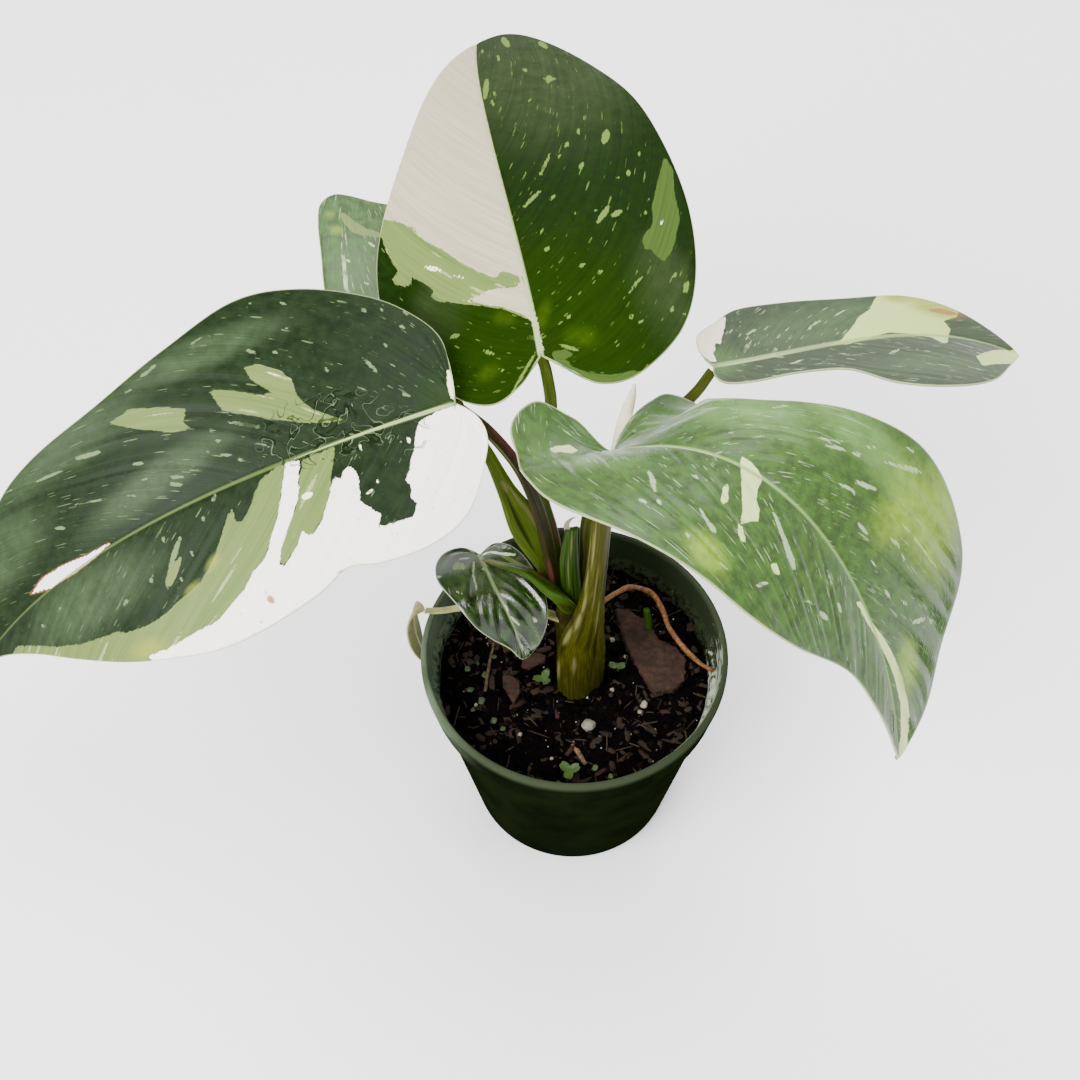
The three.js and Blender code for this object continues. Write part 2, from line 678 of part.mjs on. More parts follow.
// What is set in the soil leaves a pit in it.
const pits = [...stalkClearance];
add("bark", cutClear(barkSolid(), stalkClearance), COLORS.bark, 0.9);
pits.push(barkSolid(GAP));
for (const [name, chip] of Object.entries(CHIPS)) {
  add(name, chipSolid(chip), COLORS.bark, 0.9);
  pits.push(chipSolid(chip, GAP));
}
for (const [name, seedling] of Object.entries(SEEDLINGS)) {
  add(name, seedlingSolid(seedling), COLORS.seedling);
  pits.push(seedlingSolid(seedling, GAP));
}

add("pot", potSolid(), COLORS.pot, 0.5);
add("soil", soilSolid(pits), COLORS.soil, 1);

export default plant;
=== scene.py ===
"""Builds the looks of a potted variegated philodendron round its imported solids.

Measures in the tables are in millimetres. Every finished mesh is in metres, in the frame of the solids:
+Z up, +Y away from the front, and the origin under the middle of the pot.
"""
import math
import random
import bmesh
import bpy
import numpy as np
from bpy.props import FloatProperty, FloatVectorProperty, IntProperty, PointerProperty
from mathutils import Matrix, Vector, noise


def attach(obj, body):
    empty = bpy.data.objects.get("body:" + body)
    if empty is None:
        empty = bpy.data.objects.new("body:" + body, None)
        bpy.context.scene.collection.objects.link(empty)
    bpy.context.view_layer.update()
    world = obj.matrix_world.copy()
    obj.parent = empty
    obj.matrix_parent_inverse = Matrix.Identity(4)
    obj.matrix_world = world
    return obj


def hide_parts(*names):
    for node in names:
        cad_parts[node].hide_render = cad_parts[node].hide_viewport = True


bl_info = {
    "name": "Potted philodendron",
    "version": (1, 0, 0),
    "blender": (4, 5, 0),
    "location": "View3D > Sidebar > Philodendron",
    "description": "Builds a variegated philodendron in its nursery pot, piece by piece",
    "category": "Add Mesh",
}

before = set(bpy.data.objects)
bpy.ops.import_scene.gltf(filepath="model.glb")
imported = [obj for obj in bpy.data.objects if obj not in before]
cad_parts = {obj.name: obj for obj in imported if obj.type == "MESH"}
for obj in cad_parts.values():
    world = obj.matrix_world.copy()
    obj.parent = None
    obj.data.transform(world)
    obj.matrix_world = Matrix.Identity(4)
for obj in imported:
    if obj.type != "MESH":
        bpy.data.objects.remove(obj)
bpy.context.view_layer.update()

MM = 0.001
BODY = "root"
TINY, FAR = 1e-12, 1e9
# The millimetres that one unit of a UV map spans.
UV_SPAN = 100

POT = {
    "height": 87, "rim_radius": 51, "rim_depth": 3.6, "collar_radius": 49.7, "collar_foot": 74,
    "wall_top_radius": 47.4, "wall_top": 72.4, "base_radius": 36, "wall": 1.3, "floor": 1.6, "edge": 1.2,
    "step": 1.8,
}
DRAIN = {"count": 6, "radius": 4.5, "ring": 25}
SOIL = {"top": 72, "bump": 0.9, "dip": 1.6, "bottom": 1.9, "clear": 9, "reach": 44.5, "heaped": 120}
LUMPS, CLODS = {"scale": 0.16, "height": 1.1}, {"scale": 0.35, "height": 0.9}

# The part of a margin that fans out from the stalk's point.
FAN = 0.22


def even(value):
    """The same at the base, the middle and the tip, for the left and the right half."""
    return {"left": [value] * 3, "right": [value] * 3}


# Each blade hangs on its midrib, a Bezier curve from the stalk to the tip. side points level to the
# blade's left. roll turns it about the midrib at the base, the middle and the tip. fold lifts each half,
# in degrees, and bend curls it, in thousandths of a radian per millimetre. lobe_lift raises what lies
# behind the stalk. left and right are the margins laid flat: along the midrib, then out from it. lean is
# how far the veins run towards the tip, and quilt, swell and groove are shares of the usual relief.
PLAIN_BLADE = {
    "roll": [0, 0, 0], "fold": even(8), "bend": even(-4), "lobe_lift": 0, "lean": 0.9, "quilt": 1, "swell": 1,
    "groove": 1, "rib_width": (0.8, 0.4, 0.2),
}
BLADES = {
    "top": {
        "rib_width": (0.8, 0.2, 0.08),
        "midrib": [[-10, 28, 199], [-17, 73, 212], [-30, 120, 217], [-30, 165, 202]],
        "side": [-1, -0.15],
        "fold": {"left": [-10, 6, 3], "right": [8, 6, 3]},
        "bend": {"left": [-3, -4, -6], "right": [-3, -4, -6]},
        "left": [
            [0, 0], [-8, 7], [-12, 16], [-7, 26], [4, 33], [18, 41], [33, 42], [50, 38], [77, 27], [106, 16],
            [126, 8], [142, 0],
        ],
        "right": [
            [0, 0], [-6, 7], [-12, 15], [-11, 26], [0, 40], [16, 48], [40, 52], [68, 51], [98, 46],
            [124, 35], [143, 20], [149, 9], [142, 0],
        ],
    },
    "left": {
        "midrib": [[-34, 13, 196], [-84.4, -10.1, 199.2], [-143.6, -20, 179.1], [-175.8, -34, 133.7]],
        "side": [0.34, -0.94], "roll": [-22, -22, -22],
        "fold": even(6),
        "left": [
            [0, 0], [-4, 5], [-5, 11], [-2, 18], [8, 31], [20, 36], [34, 36], [43, 34], [53, 38], [69, 41],
            [84, 41], [99, 37], [114, 31], [129, 22], [142, 12.5], [155, 4.5], [168, 0],
        ],
        "right": [
            [0, 0], [-2, 8], [-3, 19], [2, 28], [12, 37], [30, 46], [48, 49], [70, 43], [92, 37], [115, 34],
            [128, 30.5], [140, 23], [150, 14], [160, 5], [168, 0],
        ],
    },
    "right": {
        "rib_width": (0.8, 0.5, 0.3), "lean": 1.5, "quilt": 2.6,
        "midrib": [[9, -6, 197], [54, -34, 250], [85, -50, 167], [90, -63, 127]],
        "side": [0.45, 0.89], "roll": [-50, 4, 5],
        "fold": {"left": [27, 7, 8], "right": [-6, 5, 8]},
        "bend": {"left": [-3, -4, -4], "right": [-7, -4, -4]}, "lobe_lift": 35,
        "left": [
            [0, 0], [-7, 9], [-12, 20], [-14, 30], [-14, 37], [-9, 41], [0, 39], [10, 31], [21, 25],
            [34, 25], [45, 29.5], [62, 38.5], [82, 46.5], [104, 46], [119, 41], [131, 25], [147, 15],
            [154, 0],
        ],
        "right": [
            [0, 0], [-8, -3], [-17, -3], [-22, 3], [-23, 10], [-19, 20], [-10, 25], [5, 35], [16, 40],
            [31, 39], [46, 38], [62, 36], [80, 29], [104, 15], [125, 9], [145, 4], [154, 0],
        ],
    },
    "back_right": {
        "rib_width": (1.3, 1.1, 0.4),
        "midrib": [[41, 38, 182], [74, 38, 189], [105, 58, 183], [136, 50, 172]],
        "side": [-0.1, 1], "roll": [-17, -17, -17],
        "bend": even(-3),
        "left": [
            [0, 0], [-4, 8], [-4, 16], [2, 21], [12, 26], [30, 25], [50, 21], [68, 20], [80, 16], [90, 8],
            [98, 0],
        ],
        "right": [
            [0, 0], [0, 6], [3, 12], [10, 14], [20, 14], [33, 18], [41, 29], [52, 34], [66, 33], [80, 26],
            [92, 12], [98, 0],
        ],
    },
    "back_left": {
        "midrib": [[-45, 54, 180], [-51.8, 71.5, 183.8], [-52.9, 90.7, 184.1], [-54.3, 109.4, 181.4]],
        "side": [-1, -0.15],
        "left": [
            [0, 0], [-6, 5], [-8, 13], [0, 22], [14, 25.5], [33, 25.6], [47, 26.4], [58, 26], [63.6, 22],
            [63, 16.7], [59.4, 9], [56.7, 0],
        ],
        "right": [[0, 0], [-6, 5], [-8, 13], [0, 22], [14, 26], [30, 24], [44, 16], [53, 7], [56.7, 0]],
    },
    "small": {
        "rib_width": (0.7, 0.45, 0.2), "quilt": 13, "swell": 9,
        "midrib": [[-30, 16, 118], [-27, 3, 122], [-17, -11, 116], [-17, -12, 101]],
        "side": [0.9, 0.45],
        "left": [[0, 0], [-4, 5], [0, 10], [8, 13], [18, 14], [27, 12], [34, 7], [38, 3], [41, 0]],
        "right": [
            [0, 0], [-6, 5], [-4, 12], [5, 16], [14, 14], [22, 11.5], [28, 8], [33, 4], [37, 2], [41, 0],
        ],
    },
    "old": {
        "quilt": 2, "groove": 0.5,
        "midrib": [[-50, 14.5, 89.5], [-57, 16.5, 92], [-56, 15.5, 72], [-51, 13.6, 56]],
        "side": [-0.25, -0.97],
        "fold": even(0), "bend": even(0),
        "left": [[0, 0], [3, 3], [10, 5], [20, 5], [28, 3.5], [34, 1.5], [38, 0]],
        "right": [[0, 0], [3, 3], [10, 5], [20, 5], [28, 3.5], [34, 1.5], [38, 0]],
    },
}

# Where each blade's colours lie, as outlines laid flat: along the midrib, then out to the left of it.
PATCHES = {
    "top": {
        "white": [[
            [150, 0], [128, 14], [102, 26], [64, 40], [54, 38], [52, 33], [49, 29], [44, 26.5], [40, 22],
            [35, 18], [31, 14], [28, 10], [27, 8], [29, 6], [28, 3.6], [26, 1.7], [22, 0], [17, -0.5],
            [10, -0.9], [1, -1], [1, 0], [8, 0.3], [12, 1.3], [15, 4.5], [17.5, 8.7], [20, 15], [22, 19],
            [22, 14], [23.5, 10.6], [22.7, 3.4], [24, 1.7], [28, 0], [95, 0],
        ]],
        "pale": [
            [
                [60, 39], [57, 31], [49, 24], [40, 15], [33, 6], [30, 0], [11, -0.9], [11, 0.4], [14, 4.7],
                [17, 9], [19, 14], [21, 20], [23, 25], [25, 27.6], [27, 26.3], [30, 28.5], [33, 32],
                [31.5, 32], [30, 33.4], [32, 37], [34, 37.4], [35, 35], [39, 36.6], [45, 38],
            ],
        ],
        "dull": [
            [
                [61, -50], [56, -51], [45, -49], [37.5, -48.6], [30.5, -46], [25.6, -43.6], [22, -40],
                [27, -37], [27, -35.6], [30.6, -35.6], [33, -37], [35, -39.7], [42.5, -41.4], [47, -43.5],
                [54, -46.4],
            ],
            [
                [0, -3.5], [0, -7], [-2, -10], [-2.7, -6.5], [-5.6, -8.3], [-8.6, -12.6], [-10, -18],
                [-10, -26], [-12.5, -29], [-15, -26], [-16, -17], [-12.4, -9.2], [-6.3, -3.4],
            ],
        ],
    },
    "left": {
        "white": [[
            [0.5, 0], [8, 1.3], [11.5, 2.3], [14, 5.8], [15, 8.6], [17, 11.3], [18.5, 14.5], [20.6, 17],
            [19.7, 19.2], [21, 22], [20, 24], [22.4, 27.4], [25, 26.8], [32, 27], [29.8, 23.8], [32, 21],
            [34, 18], [32, 11.8], [32.7, 7.9], [35, 8.3], [37, 11], [38.2, 8.8], [40, 11.8], [42.6, 16],
            [45, 19.3], [49.5, 22.6], [51, 20], [53.5, 23.3], [59, 27.2], [60, 26], [57.6, 21.6], [52, 15],
            [49.4, 11.6], [47.4, 6.3], [45.4, 1.3], [49, 0], [51.4, 4.7], [53.7, 9.8], [56.6, 14.6],
            [61.7, 21.4], [64, 24], [67, 25], [71.6, 29], [81.5, 33.5], [99, 34], [106, 33], [105, 42],
            [77, 48], [51, 44], [30, 42], [11, 42], [-4, 30], [-10, 8],
        ]],
        "pale": [
            [
                [48, 0], [51.4, 4.7], [53.7, 9.8], [56.6, 14.6], [61.7, 21.4], [64, 24], [67, 25],
                [71.6, 29], [81.5, 33.5], [88.5, 34], [106, 36], [118, 36], [137, 25], [157, 8], [147, 6.4],
                [133, 15.6], [126, 19], [119, 21], [112.5, 22.4], [109, 24.3], [102, 25.5], [96, 25.2],
                [83, 22], [77, 17.7], [72, 12.3], [69, 7.7], [67, 6.4], [67.4, 10.6], [66, 11.3], [64, 10],
                [60, 5.6], [57, 2.4], [52.4, 0.5],
            ],
            [
                [35, 1], [38, 7], [40, 11.8], [42.6, 16], [45, 19.3], [49.5, 22.6], [51, 20], [53.5, 23.3],
                [59, 27.2], [60, 26], [57.6, 21.6], [55, 18.3], [52, 15], [49.4, 11.6], [47.4, 6.3],
                [44.5, 1.3],
            ],
            [
                [51, -29], [47, -28.6], [42, -24.7], [40, -21], [40, -16.3], [37.6, -11], [30, -5],
                [36.8, -6.7], [46.4, -11], [56, -17.2], [60, -19.8], [60.7, -22.8], [62, -27.2],
                [58.3, -25.5], [48.7, -20], [46, -19.4], [50, -24.6],
            ],
            [
                [90, -30.5], [83.4, -31.4], [73.8, -27.4], [69, -24.4], [71, -21.4], [69.5, -18],
                [76.8, -21], [86.3, -27.7],
            ],
            [[85, 12.7], [86.4, 15], [89, 17.5], [92.3, 19.6], [92.3, 17.2], [89.6, 14.2]],
        ],
    },
    "right": {
        "cream": [
            [
                [40, 2.9], [42.7, 2.6], [45.3, 1.5], [47.6, 0.3], [48, -4.6], [49, -8], [50.6, -10.2],
                [52, -13.6], [50, -15.6], [49, -18], [51, -20], [52, -22], [50.4, -22], [48.7, -20],
                [48, -15], [44.7, -7.9],
            ],
            [[41, -10.6], [41.5, -8.5], [43.6, -13.5], [43.6, -16], [42.4, -15.6]],
            [[60, -20.4], [61, -19], [63.6, -20.5], [61.2, -22.3]],
            [
                [-10, -14], [-11.6, -10.3], [-11, -6], [-7.5, -6], [-5.8, -9.5], [-8.8, -11.3],
                [-8.4, -14.4],
            ],
            [
                [92, -0.8], [101, 0.4], [112, 3], [125, 5], [136, 6], [145, 5.6], [152, 4], [155, 0],
                [149, 0.8], [142, 1.8], [133, 2.6], [122, 2], [109, 0.3], [99, -1.9], [90.5, -2.6],
            ],
        ],
    },
    "back_right": {
        "white": [
            [
                [-8, 21], [2, 24], [7, 23], [5, 17], [2.7, 9.8], [0.7, 11], [1.3, 6.2], [0, 7], [1, 2],
                [-1, 2.5], [-5, 9], [-8, 14.6],
            ],
        ],
        "cream": [
            [
                [62, 24], [77, 28], [84, 20], [80, 11], [75, 8], [76, 4], [71, -5.4], [69, -7], [67, -2],
                [61.5, 0.8], [55, 1.8], [48, 0.5], [40, -2], [34, 0], [39.5, 1.4], [44, 5.4], [49, 10.6],
                [54, 14],
            ],
            [[76, -15], [98, 3], [96, -13], [75.5, -21]],
        ],
    },
    "back_left": {
        "pale": [[
            [53, 20], [47, 18], [43, 15.7], [41.4, 12.6], [40.5, 8.6], [40.5, 6], [43, 7.6], [45, 11.6],
            [48, 14.8], [52.6, 18],
        ]],
    },
    "small": {
        "pale": [
            [
                [3, -10], [1, -8.6], [2, -6.2], [3.5, -6], [4, -4.2], [4.5, -7], [4, -10.4],
            ],
            [
                [1, 0.3], [0, 2.6], [0.7, 5.4], [4.8, 8], [8.6, 10], [13, 13.3], [11.6, 9.8], [6.8, 7.4],
                [2, 5], [1.2, 2.6],
            ],
        ],
    },
    "old": {},
}

# The slit in the left blade, laid flat.
TEAR = [[104, -1], [112, -1.6], [120, -3.2], [128, -4], [134, -2.6], [128, -0.4], [118, 0.8], [110, 0.4]]

# Where water lies on the left blade, as ovals: along, out, half length, half width and turn in degrees.
WET = [[36, -5, 24, 12, 0], [17, 3, 9, 9, 0]]

# The larger flecks of each blade, laid flat: start, end and half width. lime lists soft spots as ovals.
FLECKS = {
    "top": {
        "fleck": [
            [112, -2.7, 101, -1.1, 0.9], [109, -21, 108.5, -23.8, 1.7], [111.8, -22.2, 105.4, -21.8, 0.5],
            [117, -15, 114.4, -15.4, 0.7], [145, -9, 135.6, -10.7, 1.3], [139.4, -21.3, 133.4, -23.1, 1.4],
            [129, -7.2, 123.8, -7.4, 0.4], [135.6, -2.1, 132, -2.3, 0.3], [103.8, -4.2, 101.4, -4.2, 0.4],
            [99.4, -3, 95.9, -3.2, 0.4], [96, -14.3, 97.8, -15.1, 0.5], [81.7, -29.1, 85.1, -30.1, 0.4],
            [75.3, -26.4, 78.5, -26.7, 0.5], [76, -35.2, 70.2, -33.1, 1.4], [70.7, -21.5, 72.7, -22.5, 0.7],
            [66.6, -18.2, 67.8, -19.1, 0.6], [60.3, -23.6, 63, -25.1, 0.7], [57.2, -37.9, 54.8, -37, 0.8],
            [53.7, -33.4, 55.3, -34.1, 0.5], [65.2, -42.8, 62, -42, 0.3], [74.1, -46, 72.1, -46.2, 0.4],
            [49.6, -4.2, 54.9, -10.7, 0.6], [50.5, -12.5, 51.9, -14.3, 0.6], [44.3, -28.9, 39.1, -24.4, 0.9],
            [40.4, -28.9, 41.8, -31.9, 1.1], [32.8, -7.4, 33.8, -8.8, 0.7], [39, -7.2, 40.7, -9, 0.4],
            [25, -16.1, 25.8, -17.4, 0.7], [21.6, -20.6, 22.7, -22, 0.6], [19, -33.2, 14, -28, 0.4],
            [16.6, -41.1, 18.2, -43, 0.5], [11.2, -43.6, 14.9, -45.1, 0.9], [6.1, -38.7, 7.5, -39.3, 0.7],
            [4.6, -41.8, 5.5, -42.3, 0.5], [6.5, -26.7, 6.6, -27.6, 0.9], [4.3, -28.6, 4.9, -30.4, 0.4],
            [9.6, -9.2, 10.3, -10.5, 0.6], [43.8, -18.6, 44.4, -19.6, 0.6], [42.9, -24.1, 43.5, -25.1, 0.6],
            [45.9, -41.3, 43.5, -40.1, 0.3], [39.1, -38.5, 40.6, -39.1, 0.5], [11.2, 24.4, 11.5, 21.7, 0.8],
            [4.8, 15.5, 3.2, 12.9, 0.6], [-2.4, 12.1, -2.4, 10.7, 0.4], [1.7, -5.8, -0.8, -10.5, 0.6],
            [-9.8, 9.8, 1, 1.2, 0.4],
        ],
        "cream": [[35.2, 27.5, 33, 23.5, 0.9], [30.6, 20.1, 28.6, 16.1, 0.4], [34.4, -41.8, 38, -43.6, 0.4]],
        "lime": [
            [3.1, -12.3, 7.4, 5.1, -106], [13.5, 8.2, 5.2, 3.5, -107], [-2.2, 15.6, 5.2, 3.8, -70],
            [12.1, -3, 7.7, 2.9, -24],
        ],
        "brown": [
            [83.2, 20.5, 82, 20.3, 0.2], [77.3, 25.8, 78.9, 24.4, 0.3], [71.2, 25.8, 71.5, 24.5, 0.3],
            [67.8, 19.4, 67, 18.9, 0.2], [72.1, 6.6, 72.4, 5.3, 0.2], [53.8, 32.3, 52.3, 30.8, 0.2],
        ],
    },
    "left": {
        "fleck": [
            [44.5, -45.8, 43, -46.8, 0.4], [21.5, -37.8, 20.9, -36.9, 0.5], [14.8, -34.2, 14.4, -32.8, 0.7],
            [10.1, -32.3, 9.3, -31.4, 0.4], [4, -29.4, 3.4, -28.5, 0.5], [6.6, -25.8, 5.7, -24.8, 0.5],
            [42.3, -30.4, 41.1, -29.6, 0.5], [37.1, -35.6, 35.8, -35.4, 0.3],
            [57.9, -42.4, 56.8, -41.3, 0.6], [62.2, -41.2, 58.3, -42, 0.3], [77.6, -38.3, 76.3, -38.6, 0.7],
            [82.6, -36.5, 80.9, -36.2, 0.5], [75.4, -38.7, 72.3, -40, 0.5], [102.4, -26.7, 95.3, -24.8, 0.7],
            [115.6, -27.7, 107.4, -26, 0.4], [88, -17, 85.3, -15.9, 0.5], [87.5, -11.9, 86.1, -11.4, 0.4],
            [79.7, -8.8, 76.7, -7.4, 0.5], [80.5, -7.1, 77.8, -5.5, 0.6], [68.7, -11.5, 67.5, -10.7, 0.3],
            [64.7, -13, 63.4, -12.1, 0.5], [65, -8.6, 62.2, -7.4, 0.4], [61.1, -5.8, 59.5, -4.5, 0.4],
            [71.4, 2.4, 70.3, 1.1, 0.6], [93, -10.1, 91.1, -8.7, 0.3], [116.4, -13.1, 113.9, -11.6, 0.5],
            [88.7, 6.7, 87.7, 5, 0.6], [82, 12.7, 81.7, 14.3, 0.5], [75.9, 6.4, 75.1, 5, 0.5],
            [96.8, 15.6, 95.3, 13.9, 0.7], [87.9, 19.3, 87, 17.9, 0.5], [106.8, 16.9, 105.3, 16.2, 0.7],
            [128, 7, 126.5, 6.5, 0.4], [135.4, 7, 134.4, 8.3, 0.4], [89.6, 14.5, 83.7, 7.9, 0.9],
            [19.6, -20.3, 17.2, -14.7, 0.5], [12.7, -22.1, 12, -20.9, 0.4], [13, -7.2, 11.4, -5.8, 0.5],
            [48.8, -33.9, 46.6, -31.8, 0.5], [30.6, -20.9, 29.9, -19.7, 0.5],
            [35.6, -43.8, 34.3, -42.4, 0.4], [28.4, -28.8, 27.8, -27.3, 0.4], [65, -16.1, 63.7, -15.2, 0.4],
        ],
        "cream": [
            [15.9, 5.6, 15.6, 7.3, 0.5], [31.8, 16.9, 29.4, 16.3, 0.4], [28.6, 15.7, 27.1, 13.8, 0.3],
            [28.7, 3, 29.7, 6.7, 0.3], [45.9, -25.6, 42.5, -23.1, 0.3], [-1.6, -9, 0.1, -1.6, 0.9],
            [47.8, 11.4, 45.5, 11.5, 1.1],
        ],
        "lime": [
            [104.8, 31.5, 8.8, 4.6, 167], [85.5, 22.1, 4.7, 1.7, -162], [77.2, 18.4, 4.7, 2.3, -148],
        ],
        "brown": [
            [46.3, 34.3, 44.1, 34.2, 0.3], [66.2, 33.3, 65.1, 35.2, 1.2], [66.5, 31.2, 66.1, 32.5, 0.3],
            [70.7, 39.3, 69.4, 37.8, 0.4], [4, 31.5, 9, 34.5, 0.2], [9, 34.5, 17, 38.5, 0.2],
        ],
    },
    "right": {
        "fleck": [
            [24.8, -16.4, 28.5, -20, 0.5], [26.9, -18.8, 30, -23.1, 0.5], [33.7, -11.6, 34.9, -12, 0.9],
            [33, -26.1, 31.3, -25.4, 0.5], [39.8, -21.5, 44.4, -25.4, 0.5], [43.5, -23.7, 45.1, -25.5, 0.6],
            [54.1, -7.6, 60.9, -12.5, 0.7], [60.9, -12.5, 66.2, -15.3, 1.1], [72.5, 31.3, 77.1, 35, 0.5],
            [76.7, 34.5, 83.1, 39.9, 0.9], [65.1, 14.4, 69.4, 17, 0.6], [68.2, 18.8, 74.9, 23, 0.7],
            [69.4, 16.4, 70.8, 16.3, 0.4], [75.6, 11.3, 80, 11.9, 0.6], [96.2, 8.2, 99.8, 9.1, 0.5],
            [103.5, 12.4, 106.7, 14, 0.4], [113.2, 14.2, 115.9, 18.8, 0.8], [118.1, 21, 120.5, 22.3, 0.7],
            [81.1, -15.8, 84.4, -14.8, 0.8], [73.7, -18.8, 77.5, -16.5, 0.3], [84.9, -8.8, 87.4, -9.4, 0.7],
            [59.5, -28.9, 61.7, -25.1, 0.5], [49.5, -31.6, 51.5, -31.6, 0.6], [28.8, -27.9, 30.2, -28, 0.6],
            [54.5, 21.8, 57.5, 23.6, 0.5], [56.6, 20.6, 61.7, 24.3, 0.6], [58.3, 24.1, 61.8, 27.6, 0.3],
            [63.2, 25.1, 66.2, 26.6, 0.5], [39.7, 10.2, 42.2, 12.7, 0.4], [18.6, 18.5, 25.1, 19.2, 0.4],
            [29.3, 13.4, 33.4, 16.7, 0.4], [39.1, 22.6, 43.2, 26.7, 0.4], [64.8, 28.9, 69.3, 33.3, 0.3],
            [75.6, 40.6, 78.6, 42.6, 0.6], [36.6, 18.5, 38.8, 20.3, 0.4], [40.3, -30.6, 41.5, -31.1, 0.4],
            [85.9, 8.5, 88.5, 9, 0.3], [87.1, 18.4, 91.1, 19.8, 0.6], [92.7, 19.2, 95.9, 19, 0.4],
        ],
        "lime": [
            [46, -31.5, 8.5, 6.6, -17], [124.2, 8.6, 13.8, 6.6, -4], [86, 26.2, 19.7, 11.5, 72],
            [93, 32.3, 27, 16.6, -3], [96, 41.5, 19.2, 12.8, -4],
        ],
    },
    "back_right": {
        "brown": [[73, 13, 80, 13, 1.8]],
        "lime": [[76, 16, 12, 9, 0], [67, 20, 9, 5, 10]],
        "fleck": [
            [20, -8, 24, -7, 0.5], [33, 10, 37, 12, 0.5], [12, 12, 16, 14, 0.5], [48, -12, 52, -10, 0.6],
        ],
    },
    "back_left": {
        "lime": [
            [44, 20.8, 4.5, 3.2, 37], [52, 22.7, 3.6, 2.6, 17],
        ],
        "fleck": [[20, 12, 24, 14, 0.5], [30, 17, 33, 19, 0.5], [12, 8, 15, 10, 0.4], [36, 9, 39, 11, 0.5]],
    },
    "small": {
        "fleck": [
            [5.9, -0.9, 6.1, 0.2, 0.8], [24.3, 0.6, 27.6, 1.8, 0.4], [27.2, 6.8, 29.3, 7.3, 0.5],
            [4.6, -15.9, 5.4, -14.5, 0.5], [7.1, -13.3, 7.1, -12.3, 0.5], [2.4, -2.7, 7.4, -4.7, 0.3],
            [7.4, -4.7, 12.5, -5.8, 0.3], [0, -8.3, 0.4, -2.9, 0.4], [10.5, -13, 12.5, -10.5, 0.3],
        ],
        "cream": [[-0.1, -0.8, -0.1, 3.3, 0.5], [-0.1, 3.3, 2.4, 6.1, 0.5], [2.4, 6.1, 5.5, 10.5, 0.6]],
    },
}

